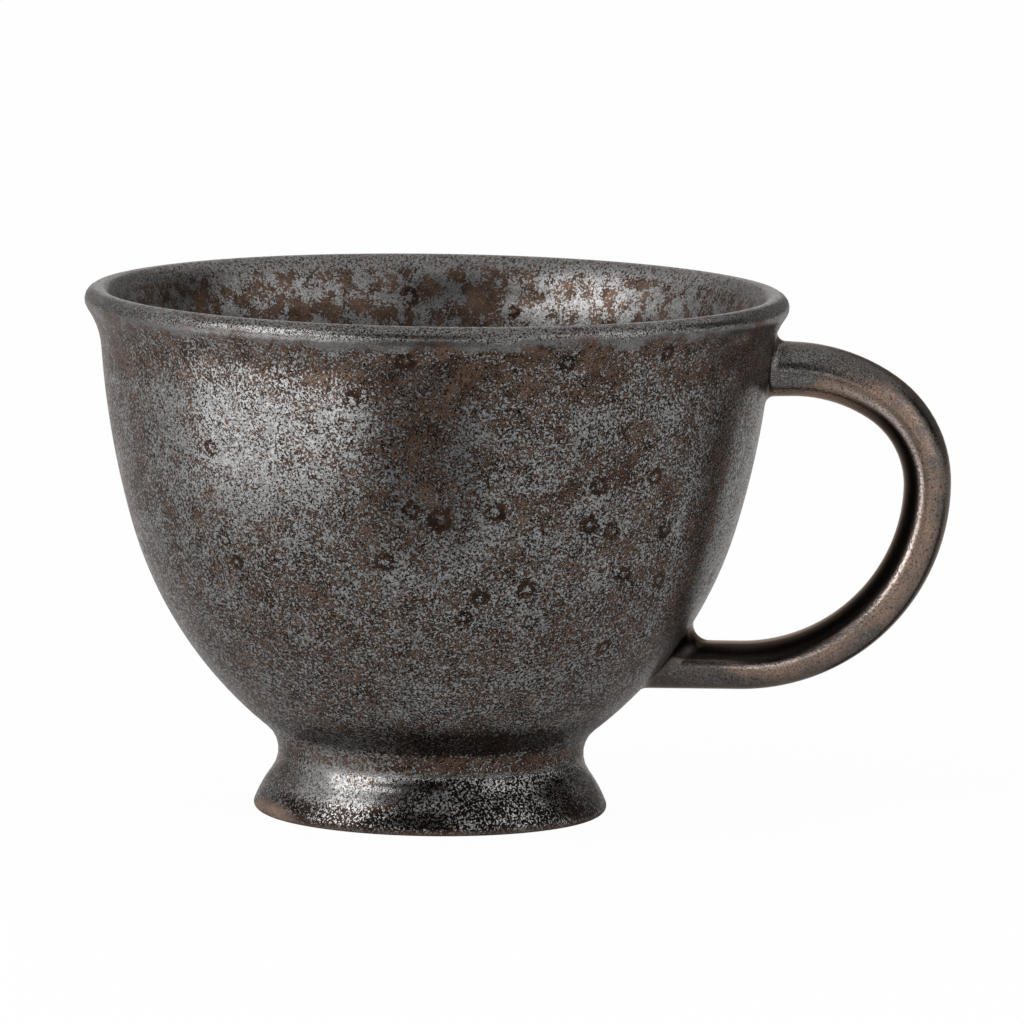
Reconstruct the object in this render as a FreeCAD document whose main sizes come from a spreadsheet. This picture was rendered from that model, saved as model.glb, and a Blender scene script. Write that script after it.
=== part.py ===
import FreeCAD, Part
import math
import os
import Sketcher
from FreeCAD import Vector

# A footed stoneware cup with one bowed handle, fired as a single piece of clay.
# The bowl and its foot are turned: their profiles lie in the handle's plane and are swept round the axis.
# Origin: where the axis meets the table. Z is up and the handle points along +X. Millimetres.

doc = FreeCAD.newDocument("StonewareCup")

SIZES = (
    # the turned outside, from the rim down
    ("rim_diameter", 110.0, "across the outside of the lip"),
    ("cup_height", 82.1, "table to the crest of the lip"),
    ("wall", 4.0, "wall of the bowl; the lip is a full round over it"),
    ("flare_drop", 10.5, "crest of the lip down to the centre of the flare arc"),
    ("flare_round", 12.5, "hollow arc that turns the wall outwards under the lip"),
    ("plumb_height", 83.4, "centre height of the upper wall arc, where it would stand plumb"),
    ("upper_wall_round", 135.7, "long arc of the upper wall"),
    ("belly_height", 45.3, "where the upper wall arc passes into the lower one"),
    ("neck_inset", 31.05, "rim in to the narrowest place between bowl and foot"),
    ("neck_height", 9.3, "table to the narrowest place"),
    ("neck_round", 5.35, "hollow arc round the neck"),
    ("foot_spread", 3.75, "how far the foot stands out past that place"),
    ("foot_edge_round", 1.0, "outer edge that stands on the table"),
    # the hollow and the turned foot ring
    ("floor_height", 12.0, "table to the inside floor"),
    ("floor_round", 20.0, "arc from the flat floor into the wall"),
    ("floor_inset", 13.25, "neck in to the edge of the flat floor"),
    ("ring_width", 7.2, "outside of the foot in to the mouth of the hollow under it"),
    ("recess_height", 6.4, "depth of that hollow"),
    ("recess_slant", 12.0, "lean of its side from plumb, in degrees"),
    ("recess_round", 2.0, "arc between its side and its ceiling"),
    ("recess_edge_round", 1.0, "inner edge that stands on the table"),
    # the handle
    ("handle_drop", 11.75, "crest of the lip down to the middle of the upper run"),
    ("handle_reach", 22.1, "rim to the middle of the handle where it bows out most"),
    ("handle_low", 23.5, "table to the middle of the lower run"),
    ("shoulder_bend", 25.5, "middle line where the handle starts to turn down"),
    ("shoulder_turn", 33.5, "how far it turns there, in degrees"),
    ("tight_bend", 16.5, "middle line from the shoulder to where it bows out most"),
    ("handle_embed", 10.0, "how far inside the rim the upper run starts"),
    ("handle_width", 11.0, "across the handle, seen along the rim"),
    ("handle_upper_depth", 8.9, "depth of the handle at the upper run"),
    ("handle_bow_depth", 7.4, "depth where it bows out most"),
    ("handle_lower_depth", 7.6, "depth at the lower run"),
    ("upper_joint_round", 1.5, "clay worked into the corner at the upper joint"),
    ("lower_joint_round", 2.5, "clay worked into the corner at the lower joint"),
)
sheet = doc.addObject("Spreadsheet::Sheet", "Sizes")
for row, (alias, number, note) in enumerate(SIZES, start=1):
    sheet.set("A%d" % row, note)
    sheet.set("B%d" % row, str(number))
    sheet.setAlias("B%d" % row, alias)
size = {alias: number for alias, number, note in SIZES}
doc.recompute()

body = doc.addObject("PartDesign::Body", "Cup")
body.Label = "cup"


# A sketch's own numbers for the points of a curve, its origin, its axes and the first edge it takes over
START, END, CENTRE = range(1, 4)
ALONG_AXIS, UP_AXIS, TAKEN_OVER = range(-1, -4, -1)
ORIGIN = (ALONG_AXIS, START)


# Sketching
def sketch_on(role, name):
    """A new sketch, flat on one of the body's origin planes."""
    sketch = body.newObject("Sketcher::SketchObject", name)
    plane = next(p for p in body.Origin.OriginFeatures if p.Role == role)
    sketch.AttachmentSupport = [(plane, "")]
    sketch.MapMode = "FlatFace"
    return sketch


def line(start, end):
    return Part.LineSegment(Vector(*start, 0), Vector(*end, 0))


def arc(centre, radius, one, other):
    """The short arc about the centre between two points, drawn anticlockwise as every arc of a sketch is."""
    first = math.atan2(one[1] - centre[1], one[0] - centre[0])
    last = math.atan2(other[1] - centre[1], other[0] - centre[0])
    if (last - first) % (2 * math.pi) > math.pi:
        first, last = last, first
    return Part.ArcOfCircle(Part.Circle(Vector(*centre, 0), Vector(0, 0, 1), radius), first, last)


def meeting_ends(piece, follower):
    """The ends where two pieces touch."""
    ends = [(p, q) for p in (START, END) for q in (START, END)]
    points = {START: "StartPoint", END: "EndPoint"}
    def apart(pair):
        here, there = getattr(piece, points[pair[0]]), getattr(follower, points[pair[1]])
        return here.distanceToPoint(there)
    return min(ends, key=apart)


def chain(sketch, pieces, joints):
    """Adds pieces that follow each other and joins them: s in joints is a smooth joint and c a corner."""
    sketch.addGeometry(pieces, False)
    for place, joint in enumerate(joints):
        after = (place + 1) % len(pieces)
        end, start = meeting_ends(pieces[place], pieces[after])
        kind = {"s": "Tangent", "c": "Coincident"}[joint]
        sketch.addConstraint(Sketcher.Constraint(kind, place, end, after, start))
    return range(len(pieces))


def bound(sketch, name, formula, *constraint):
    """Adds a dimension and binds it to the sheet."""
    index = sketch.addConstraint(Sketcher.Constraint(*constraint))
    sketch.renameConstraint(index, name)
    sketch.setExpression("Constraints." + name, formula)


def level(sketch, *lines):
    for each in lines:
        sketch.addConstraint(Sketcher.Constraint("Horizontal", each))


def towards(start, end, length):
    """The point at a length from start on the way to end."""
    share = length / math.dist(start, end)
    return (start[0] + share * (end[0] - start[0]), start[1] + share * (end[1] - start[1]))


# Where the arcs of the turned profile have their centres
rim = size["rim_diameter"] / 2
lip_round = size["wall"] / 2
lip = (rim - lip_round, size["cup_height"] - lip_round)
crest = (lip[0], size["cup_height"])

flare_level = size["cup_height"] - size["flare_drop"]
flare_out = math.sqrt((size["flare_round"] + lip_round) ** 2 - (lip[1] - flare_level) ** 2)
flare = (lip[0] + flare_out, flare_level)

upper_sink = flare[1] - size["plumb_height"]
upper_in = math.sqrt((size["upper_wall_round"] + size["flare_round"]) ** 2 - upper_sink ** 2)
upper = (flare[0] - upper_in, size["plumb_height"])

narrowest = rim - size["neck_inset"]
neck = (narrowest + size["neck_round"], size["neck_height"])
foot = (narrowest + size["foot_spread"] - size["foot_edge_round"], size["foot_edge_round"])
NARROWEST = "Sizes.rim_diameter / 2 - Sizes.neck_inset"

# The lower wall arc leaves the upper one at the belly and closes on the neck arc, which gives its radius:
# with p the way from the neck's centre to the belly and n the outward normal there,
# the radius is (p.p - neck_round squared) / (2 (p.n + neck_round)).
belly_sink = (size["plumb_height"] - size["belly_height"]) / size["upper_wall_round"]
belly_normal = (math.sqrt(1 - belly_sink ** 2), -belly_sink)
belly = (upper[0] + size["upper_wall_round"] * belly_normal[0], size["belly_height"])
way = (belly[0] - neck[0], belly[1] - neck[1])
way_out = way[0] * belly_normal[0] + way[1] * belly_normal[1]
lower_round = (way[0] ** 2 + way[1] ** 2 - size["neck_round"] ** 2) / (2 * (way_out + size["neck_round"]))
lower = towards(belly, upper, lower_round)

# The foot's side is the line that touches its edge arc from outside and the neck arc from the other side.
side_turn = math.acos((size["foot_edge_round"] + size["neck_round"]) / math.dist(foot, neck))
side_heading = math.atan2(neck[1] - foot[1], neck[0] - foot[0]) - side_turn
side_normal = (math.cos(side_heading), math.sin(side_heading))
side_low = tuple(foot[i] + size["foot_edge_round"] * side_normal[i] for i in (0, 1))
side_high = tuple(neck[i] - size["neck_round"] * side_normal[i] for i in (0, 1))

neck_top = towards(neck, lower, size["neck_round"])
flare_low = towards(flare, upper, size["flare_round"])
flare_top = towards(flare, lip, size["flare_round"])


def outside_sketch():
    """The solid turned form: up the foot, neck, bowl and flare to the crest of the lip."""
    sketch = sketch_on("XZ_Plane", "OutsideProfile")
    base, foot_arc, side, neck_arc, lower_arc, upper_arc, flare_arc, lip_arc, top, axis = chain(sketch, [
        line((0, 0), (foot[0], 0)),
        arc(foot, size["foot_edge_round"], (foot[0], 0), side_low),
        line(side_low, side_high),
        arc(neck, size["neck_round"], side_high, neck_top),
        arc(lower, lower_round, neck_top, belly),
        arc(upper, size["upper_wall_round"], belly, flare_low),
        arc(flare, size["flare_round"], flare_low, flare_top),
        arc(lip, lip_round, flare_top, crest),
        line(crest, (0, crest[1])),
        line((0, crest[1]), (0, 0)),
    ], "sssssssscc")
    level(sketch, base, top)
    sketch.addConstraint(Sketcher.Constraint("Vertical", axis))
    sketch.addConstraint(Sketcher.Constraint("Coincident", base, START, *ORIGIN))
    for name, formula, curve, radius in (
            ("foot_edge", "Sizes.foot_edge_round", foot_arc, size["foot_edge_round"]),
            ("neck_hollow", "Sizes.neck_round", neck_arc, size["neck_round"]),
            ("upper_wall", "Sizes.upper_wall_round", upper_arc, size["upper_wall_round"]),
            ("flare_hollow", "Sizes.flare_round", flare_arc, size["flare_round"]),
            ("lip_full_round", "Sizes.wall / 2", lip_arc, lip_round)):
        bound(sketch, name, formula, "Radius", curve, radius)
    for name, formula, curve, reach in (
            ("foot_reach", NARROWEST + " + Sizes.foot_spread - Sizes.foot_edge_round", foot_arc, foot[0]),
            ("neck_reach", NARROWEST + " + Sizes.neck_round", neck_arc, neck[0]),
            ("lip_reach", "Sizes.rim_diameter / 2 - Sizes.wall / 2", lip_arc, lip[0])):
        bound(sketch, name, formula, "DistanceX", *ORIGIN, curve, CENTRE, reach)
    for name, formula, curve, rise in (
            ("neck_level", "Sizes.neck_height", neck_arc, neck[1]),
            ("plumb_level", "Sizes.plumb_height", upper_arc, upper[1]),
            ("flare_level", "Sizes.cup_height - Sizes.flare_drop", flare_arc, flare[1]),
            ("lip_level", "Sizes.cup_height - Sizes.wall / 2", lip_arc, lip[1])):
        bound(sketch, name, formula, "DistanceY", *ORIGIN, curve, CENTRE, rise)
    bound(sketch, "belly_level", "Sizes.belly_height", "DistanceY", *ORIGIN, upper_arc, START, belly[1])
    return sketch


outside = outside_sketch()
turned = body.newObject("PartDesign::Revolution", "TurnedForm")
turned.Profile = outside
turned.ReferenceAxis = (outside, ["V_Axis"])
turned.Angle = 360.0
doc.recompute()

# The handle's middle line, from the wall: level, a wide shoulder, a tight bend until it is plumb, and one
# more bend that brings it back level under the bowl. Both ends lie deep in the clay.
turn = math.radians(size["shoulder_turn"])
run_high = size["cup_height"] - size["handle_drop"]
run_low = size["handle_low"]
bow_reach = rim + size["handle_reach"]
bow_level = run_high - size["shoulder_bend"] * (1 - math.cos(turn)) - size["tight_bend"] * math.cos(turn)
tight = (bow_reach - size["tight_bend"], bow_level)
shoulder_in = (size["shoulder_bend"] - size["tight_bend"]) * math.sin(turn)
shoulder = (tight[0] - shoulder_in, run_high - size["shoulder_bend"])
shoulder_end = (shoulder[0] + size["shoulder_bend"] * math.sin(turn),
                shoulder[1] + size["shoulder_bend"] * math.cos(turn))
wide_bend = bow_level - run_low
wide = (bow_reach - wide_bend, bow_level)
handle_start = rim - size["handle_embed"]
handle_end = narrowest

HIGH = "Sizes.cup_height - Sizes.handle_drop"
BOW = "Sizes.rim_diameter / 2 + Sizes.handle_reach"
EMBEDDED = "Sizes.rim_diameter / 2 - Sizes.handle_embed"
BOW_LEVEL = (HIGH + " - Sizes.shoulder_bend"
             " + (Sizes.shoulder_bend - Sizes.tight_bend) * cos(Sizes.shoulder_turn * 1 deg)")


def path_sketch():
    sketch = sketch_on("XZ_Plane", "HandlePath")
    high_run, shoulder_arc, tight_arc, wide_arc, low_run = chain(sketch, [
        line((handle_start, run_high), (shoulder[0], run_high)),
        arc(shoulder, size["shoulder_bend"], (shoulder[0], run_high), shoulder_end),
        arc(tight, size["tight_bend"], shoulder_end, (bow_reach, bow_level)),
        arc(wide, wide_bend, (bow_reach, bow_level), (wide[0], run_low)),
        line((wide[0], run_low), (handle_end, run_low)),
    ], "ssss")
    level(sketch, high_run, low_run)
    sketch.addConstraint(Sketcher.Constraint("Horizontal", tight_arc, CENTRE, tight_arc, START))
    bound(sketch, "shoulder", "Sizes.shoulder_bend", "Radius", shoulder_arc, size["shoulder_bend"])
    bound(sketch, "turn", "Sizes.shoulder_turn * 1 deg", "Angle", shoulder_arc, turn)
    bound(sketch, "tight", "Sizes.tight_bend", "Radius", tight_arc, size["tight_bend"])
    bound(sketch, "start", EMBEDDED, "DistanceX", *ORIGIN, high_run, START, handle_start)
    bound(sketch, "high", HIGH, "DistanceY", *ORIGIN, high_run, START, run_high)
    bound(sketch, "bow", BOW, "DistanceX", *ORIGIN, tight_arc, START, bow_reach)
    bound(sketch, "low", "Sizes.handle_low", "DistanceY", *ORIGIN, low_run, END, run_low)
    bound(sketch, "end", NARROWEST, "DistanceX", *ORIGIN, low_run, END, handle_end)
    return sketch


def oval_sketch(name, role, offset, place, depth, upright):
    """An oval across the handle, on an origin plane moved along its normal.

    offset and place are pairs of formula and value, for that move and for the oval's centre, which lies up
    the sketch where upright is true and along it otherwise. depth names the oval's size across its width.
    """
    sketch = sketch_on(role, name)
    sketch.AttachmentOffset = FreeCAD.Placement(Vector(0, 0, offset[1]), FreeCAD.Rotation())
    sketch.setExpression("AttachmentOffset.Base.z", offset[0])
    along, up = Vector(1, 0, 0), Vector(0, 1, 0)
    centre = (up if upright else along) * place[1]
    wide_end = centre + (along if upright else up) * (size["handle_width"] / 2)
    deep_end = centre + (up if upright else along) * (size[depth] / 2)
    oval = sketch.addGeometry(Part.Ellipse(wide_end, deep_end, centre), False)
    sketch.exposeInternalGeometry(oval)
    width_line, depth_line = oval + 1, oval + 2
    own_axis = UP_AXIS if upright else ALONG_AXIS
    sketch.addConstraint(Sketcher.Constraint("Horizontal" if upright else "Vertical", width_line))
    sketch.addConstraint(Sketcher.Constraint("PointOnObject", oval, CENTRE, own_axis))
    bound(sketch, "place", place[0], "DistanceY" if upright else "DistanceX", *ORIGIN, oval, CENTRE, place[1])
    bound(sketch, "width", "Sizes.handle_width", "Distance", width_line, size["handle_width"])
    bound(sketch, "depth", "Sizes." + depth, "Distance", depth_line, size[depth])
    return sketch


path = path_sketch()
upper_oval = oval_sketch(
    "UpperOval", "YZ_Plane", (EMBEDDED, handle_start), (HIGH, run_high), "handle_upper_depth", True)
bow_oval = oval_sketch(
    "BowOval", "XY_Plane", (BOW_LEVEL, bow_level), (BOW, bow_reach), "handle_bow_depth", False)
lower_oval = oval_sketch(
    "LowerOval", "YZ_Plane", (NARROWEST, handle_end), ("Sizes.handle_low", run_low),
    "handle_lower_depth", True)
doc.recompute()
handle = body.newObject("PartDesign::AdditivePipe", "Handle")
handle.Profile = upper_oval
handle.Spine = path
handle.Transformation = "Multisection"
handle.Sections = [(bow_oval, [""]), (lower_oval, [""])]
doc.recompute()


# Clay worked into the corners where the handle meets the turned form
def joint_edges(shape, low, high):
    """Names of the edges between two heights where the swept handle meets the turned form."""
    names = []
    for place, edge in enumerate(shape.Edges, start=1):
        faces = shape.ancestorsOfType(edge, Part.Face)
        swept = [isinstance(face.Surface, Part.BSplineSurface) for face in faces]
        box = edge.BoundBox
        if any(swept) and not all(swept) and low < box.ZMin and box.ZMax < high:
            names.append("Edge%d" % place)
    return names


def round_edges(name, base, edges, radius):
    fillet = body.newObject("PartDesign::Fillet", name)
    fillet.Base = (base, edges)
    fillet.setExpression("Radius", "Sizes." + radius)
    doc.recompute()
    return fillet


upper_joint = round_edges(
    "UpperJoint", handle, joint_edges(handle.Shape, bow_level, crest[1]), "upper_joint_round")
lower_joint = round_edges(
    "LowerJoint", upper_joint, joint_edges(upper_joint.Shape, 0, bow_level), "lower_joint_round")

# The hollow: the same arcs moved in by the wall down to the belly, then one arc that closes on the floor's
# round. With q the way from that round's centre to the belly and n the outward normal there, its radius is
# (q.q - floor_round squared) / (2 (q.n - floor_round)).
inner_upper_round = size["upper_wall_round"] - size["wall"]
inner_flare_round = size["flare_round"] + size["wall"]
inner_belly = towards(upper, belly, inner_upper_round)
inner_flare_low = towards(flare, upper, inner_flare_round)
inner_flare_top = towards(flare, lip, inner_flare_round)
floor_bend = (narrowest - size["floor_inset"], size["floor_height"] + size["floor_round"])
reach = (inner_belly[0] - floor_bend[0], inner_belly[1] - floor_bend[1])
reach_out = reach[0] * belly_normal[0] + reach[1] * belly_normal[1]
inner_lower_round = (reach[0] ** 2 + reach[1] ** 2 - size["floor_round"] ** 2) / (
    2 * (reach_out - size["floor_round"]))
inner_lower = towards(inner_belly, upper, inner_lower_round)
floor_end = towards(inner_lower, floor_bend, inner_lower_round)
INNER_BELLY = ("Sizes.belly_height + Sizes.wall * (Sizes.plumb_height - Sizes.belly_height)"
               " / Sizes.upper_wall_round")


def hollow_sketch():
    """The inside of the bowl: along the floor, up the wall and over the lip to its crest."""
    sketch = sketch_on("XZ_Plane", "HollowProfile")
    floor, floor_arc, lower_arc, upper_arc, flare_arc, lip_arc, top, axis = chain(sketch, [
        line((0, size["floor_height"]), (floor_bend[0], size["floor_height"])),
        arc(floor_bend, size["floor_round"], (floor_bend[0], size["floor_height"]), floor_end),
        arc(inner_lower, inner_lower_round, floor_end, inner_belly),
        arc(upper, inner_upper_round, inner_belly, inner_flare_low),
        arc(flare, inner_flare_round, inner_flare_low, inner_flare_top),
        arc(lip, lip_round, inner_flare_top, crest),
        line(crest, (0, crest[1])),
        line((0, crest[1]), (0, size["floor_height"])),
    ], "sssssccc")
    level(sketch, floor, top)
    shared_centres = ((upper_arc, "Edge6"), (flare_arc, "Edge7"), (lip_arc, "Edge8"))
    for count, (inner, outer) in enumerate(shared_centres):
        sketch.addExternal(outside.Name, outer)
        sketch.addConstraint(Sketcher.Constraint("Coincident", inner, CENTRE, TAKEN_OVER - count, CENTRE))
    for end in (START, END):
        sketch.addConstraint(Sketcher.Constraint("PointOnObject", axis, end, UP_AXIS))
    sketch.addConstraint(Sketcher.Constraint("Vertical", lip_arc, CENTRE, top, START))
    bound(sketch, "inner_wall", "Sizes.upper_wall_round - Sizes.wall", "Radius", upper_arc, inner_upper_round)
    bound(sketch, "floor_hollow", "Sizes.floor_round", "Radius", floor_arc, size["floor_round"])
    bound(sketch, "floor_reach", NARROWEST + " - Sizes.floor_inset",
          "DistanceX", *ORIGIN, floor_arc, CENTRE, floor_bend[0])
    bound(sketch, "floor_level", "Sizes.floor_height",
          "DistanceY", *ORIGIN, floor, START, size["floor_height"])
    bound(sketch, "belly_level", INNER_BELLY, "DistanceY", *ORIGIN, upper_arc, START, inner_belly[1])
    return sketch


def turn_out(name, profile, base):
    """Turns the profile out of the base, once round the axis, and makes sure that clay was removed."""
    groove = body.newObject("PartDesign::Groove", name)
    groove.Profile = profile
    groove.ReferenceAxis = (profile, ["V_Axis"])
    groove.Angle = 360.0
    doc.recompute()
    removed = base.Shape.Volume - groove.Shape.Volume
    print(name, "takes out", round(removed / 1000, 1), "cubic centimetres")
    if removed <= 0:
        raise RuntimeError(name + " cuts nothing")
    return groove


hollow = turn_out("Hollow", hollow_sketch(), lower_joint)

# The foot ring: a shallow hollow turned out underneath, its side leaning in towards the ceiling
lean = math.radians(size["recess_slant"])
mouth = narrowest + size["foot_spread"] - size["ring_width"]
ceiling = size["recess_height"]
corner_level = ceiling - size["recess_round"]
corner = (mouth - corner_level * math.tan(lean) - size["recess_round"] / math.cos(lean), corner_level)
side_end = (corner[0] + size["recess_round"] * math.cos(lean),
            corner[1] + size["recess_round"] * math.sin(lean))


def recess_sketch():
    sketch = sketch_on("XZ_Plane", "RecessProfile")
    base, side, corner_arc, top, axis = chain(sketch, [
        line((0, 0), (mouth, 0)),
        line((mouth, 0), side_end),
        arc(corner, size["recess_round"], side_end, (corner[0], ceiling)),
        line((corner[0], ceiling), (0, ceiling)),
        line((0, ceiling), (0, 0)),
    ], "csscc")
    level(sketch, base, top)
    sketch.addConstraint(Sketcher.Constraint("Vertical", axis))
    sketch.addConstraint(Sketcher.Constraint("Coincident", base, START, *ORIGIN))
    bound(sketch, "mouth", NARROWEST + " + Sizes.foot_spread - Sizes.ring_width", "Distance", base, mouth)
    bound(sketch, "ceiling", "Sizes.recess_height", "Distance", axis, ceiling)
    bound(sketch, "corner", "Sizes.recess_round", "Radius", corner_arc, size["recess_round"])
    bound(sketch, "lean", "(90 + Sizes.recess_slant) * 1 deg",
          "Angle", base, START, side, START, math.pi / 2 + lean)
    return sketch


recess = turn_out("Recess", recess_sketch(), hollow)
NEAR = 1e-3
mouth_edges = ["Edge%d" % place for place, edge in enumerate(recess.Shape.Edges, start=1)
               if edge.BoundBox.ZMax < NEAR and abs(edge.BoundBox.XMax - mouth) < NEAR]
round_edges("InnerEdge", recess, mouth_edges, "recess_edge_round")

# One sound solid, or nothing is written
for item in doc.Objects:
    if "Invalid" in item.State or "Error" in item.State:
        raise RuntimeError(item.Name + " is " + str(item.State))
    if item.TypeId == "Sketcher::SketchObject" and not item.FullyConstrained:
        raise RuntimeError(item.Name + " is not fully dimensioned")
shape = body.Shape
if shape.isNull() or not shape.isValid() or len(shape.Solids) != 1:
    raise RuntimeError("the cup is not one sound solid")
os.makedirs("parts", exist_ok=True)
shape.exportStep(os.path.join("parts", body.Label + ".step"))
print("clay", round(shape.Volume / 1000, 1), "cubic centimetres,", len(shape.Faces), "faces")
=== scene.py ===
# %% [markdown]
# # A footed stoneware cup in a flaked metallic glaze
#
# The cup is one fired piece of clay: a turned bowl on a flared foot, and a bowed handle luted to its wall.
# What makes it hard to draw is not its form but its skin. The glaze is a dark brown glass in which grey
# metallic crystals have grown. They lie in it like flakes, close together here and thin there, and where
# gas came through the glaze in the kiln they leave a dark ring with a small light dot in it.
#
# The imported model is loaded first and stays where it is. Everything below is in its frame: metres, Z up,
# the origin where the cup's axis meets the table, the handle along +X.

# %% Load the frame
import math

import bpy
import numpy as np
from mathutils import Matrix, Vector


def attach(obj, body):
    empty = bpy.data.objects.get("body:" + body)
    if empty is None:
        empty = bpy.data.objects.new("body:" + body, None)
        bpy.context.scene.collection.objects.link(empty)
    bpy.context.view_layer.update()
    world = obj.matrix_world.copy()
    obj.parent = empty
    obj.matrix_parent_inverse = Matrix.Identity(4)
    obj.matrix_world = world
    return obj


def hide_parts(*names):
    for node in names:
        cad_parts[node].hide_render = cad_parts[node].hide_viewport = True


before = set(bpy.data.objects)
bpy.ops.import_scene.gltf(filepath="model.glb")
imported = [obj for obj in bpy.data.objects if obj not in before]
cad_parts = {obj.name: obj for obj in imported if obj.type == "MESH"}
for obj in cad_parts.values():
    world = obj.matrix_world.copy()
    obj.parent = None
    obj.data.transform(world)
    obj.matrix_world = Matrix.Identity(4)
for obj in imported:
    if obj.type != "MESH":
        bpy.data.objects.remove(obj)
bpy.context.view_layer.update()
MM = 0.001

# %% [markdown]
# ## The camera
#
# The photograph looks almost level at the cup, from a little above the rim, with a long lens: the far
# side of the rim is hardly smaller than the near one. The camera stands a metre and a half away and looks
# at a point on the cup's axis. That point is left of the middle of the frame and below it, so the lens is
# shifted rather than the camera turned, which keeps the upright lines of the photograph. The cup hangs
# a fraction of a degree clockwise there, and the camera leans by as much.

# %% Place the camera
FRAME_PIXELS = 1024
SENSOR = 36.0
CAMERA_AWAY = 1500 * MM
CAMERA_LIFT = math.radians(7.765)
CAMERA_LEAN = math.radians(0.788)
PIXELS_PER_MM = 6.385
LOOK_AT = Vector((0, 0, 40 * MM))
LOOK_AT_PIXEL = (433.5, 556.3)

towards_camera = Vector((0, -math.cos(CAMERA_LIFT), math.sin(CAMERA_LIFT)))
camera = bpy.data.objects.new("camera", bpy.data.cameras.new("camera"))
bpy.context.scene.collection.objects.link(camera)
bpy.context.scene.camera = camera
facing = towards_camera.to_track_quat("Z", "Y").to_matrix() @ Matrix.Rotation(CAMERA_LEAN, 3, "Z")
camera.matrix_world = Matrix.Translation(LOOK_AT + CAMERA_AWAY * towards_camera) @ facing.to_4x4()
camera.data.sensor_width = SENSOR
camera.data.lens = PIXELS_PER_MM * CAMERA_AWAY / MM * SENSOR / FRAME_PIXELS
camera.data.shift_x = (FRAME_PIXELS / 2 - LOOK_AT_PIXEL[0]) / FRAME_PIXELS
camera.data.shift_y = (LOOK_AT_PIXEL[1] - FRAME_PIXELS / 2) / FRAME_PIXELS
camera.data.clip_start, camera.data.clip_end = 0.01, 60
print("lens %.0f mm, shift %.3f, %.3f" % (camera.data.lens, camera.data.shift_x, camera.data.shift_y))

# %% [markdown]
# ## Small tools for node trees
#
# A procedural glaze is a network of nodes. Written out call by call it would fill pages, so a few helpers
# make one node each and return its output socket. They read like arithmetic: `mul(a, b)` is a Multiply node
# with a and b plugged in, whether they are sockets or plain numbers.

# %% Node helpers
def feed(tree, socket, value):
    """Links a socket, or sets a number, colour or vector, on an input."""
    if isinstance(value, bpy.types.NodeSocket):
        tree.links.new(value, socket)
    else:
        socket.default_value = value


class Nodes:
    """Makes nodes in one tree; each method returns the output that is used next."""

    def __init__(self, tree):
        self.tree = tree

    def make(self, kind, inputs=(), **settings):
        """One node of a kind, with its settings made and its inputs fed."""
        node = self.tree.nodes.new(kind)
        for name, value in settings.items():
            setattr(node, name, value)
        for name, value in dict(inputs).items():
            feed(self.tree, node.inputs[name], value)
        return node

    def math(self, operation, a, b=0.0):
        """The result of a Math node."""
        return self.make("ShaderNodeMath", {0: a, 1: b}, operation=operation).outputs[0]

    def add(self, a, b):
        return self.math("ADD", a, b)

    def sub(self, a, b):
        return self.math("SUBTRACT", a, b)

    def mul(self, a, b):
        return self.math("MULTIPLY", a, b)

    def total(self, first, *others):
        """The sum of two or more values."""
        for other in others:
            first = self.add(first, other)
        return first

    def vector(self, operation, a, b=(0.0, 0.0, 0.0), out=0):
        """The result of a Vector Math node: a vector from output 0, a number from output 1."""
        return self.make("ShaderNodeVectorMath", {0: a, 1: b}, operation=operation).outputs[out]

    def ramp(self, value, low, high, bottom=0.0, top=1.0, smooth=True):
        """From bottom, where value is low or less, to top, where it is high or more."""
        kind = "SMOOTHSTEP" if smooth else "LINEAR"
        node = self.make("ShaderNodeMapRange", interpolation_type=kind)
        for name, number in (("Value", value), ("From Min", low), ("From Max", high),
                             ("To Min", bottom), ("To Max", top)):
            feed(self.tree, node.inputs[name], number)
        return node.outputs["Result"]

    def hump(self, value, rise, fall):
        """1 from the end of the rise to the start of the fall, and 0 outside the two."""
        return self.mul(self.ramp(value, *rise), self.ramp(value, *fall, 1.0, 0.0))

    def near(self, where, place, inner, outer):
        """1 within the inner distance from a place, and 0 beyond the outer one."""
        return self.ramp(self.vector("DISTANCE", where, place, out=1), inner, outer, 1.0, 0.0)

    def blend(self, factor, a, b):
        """Colour a where factor is 0 and colour b where it is 1."""
        node = self.make("ShaderNodeMix", data_type="RGBA")
        for place, value in ((0, factor), (6, a), (7, b)):
            feed(self.tree, node.inputs[place], value)
        return node.outputs[2]

    def between(self, factor, a, b):
        """Number a where factor is 0 and number b where it is 1."""
        node = self.make("ShaderNodeMix", data_type="FLOAT")
        for place, value in ((0, factor), (2, a), (3, b)):
            feed(self.tree, node.inputs[place], value)
        return node.outputs[0]

    def noise(self, vector, size, detail=2.0, roughness=0.5, distortion=0.0):
        """Soft noise about 0.5 whose lumps are roughly size metres across."""
        return self.make("ShaderNodeTexNoise", {
            "Vector": vector, "Scale": 1 / size, "Detail": detail, "Roughness": roughness,
            "Distortion": distortion}).outputs["Fac"]

    def cells(self, vector, size):
        """A node of Voronoi cells roughly size metres across."""
        return self.make("ShaderNodeTexVoronoi", {"Vector": vector, "Scale": 1 / size}, feature="F1")

    def stored(self, name):
        """A number that is stored with the mesh."""
        return self.make("ShaderNodeAttribute", attribute_name=name).outputs["Fac"]


def node_group(name, inputs, outputs):
    """A shader node group with named sockets: each is a pair of name and socket type."""
    group = bpy.data.node_groups.new(name, "ShaderNodeTree")
    for label, kind in inputs:
        group.interface.new_socket(label, in_out="INPUT", socket_type="NodeSocket" + kind)
    for label, kind in outputs:
        group.interface.new_socket(label, in_out="OUTPUT", socket_type="NodeSocket" + kind)
    start = group.nodes.new("NodeGroupInput")
    end = group.nodes.new("NodeGroupOutput")
    return Nodes(group), start.outputs, end.inputs


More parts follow.
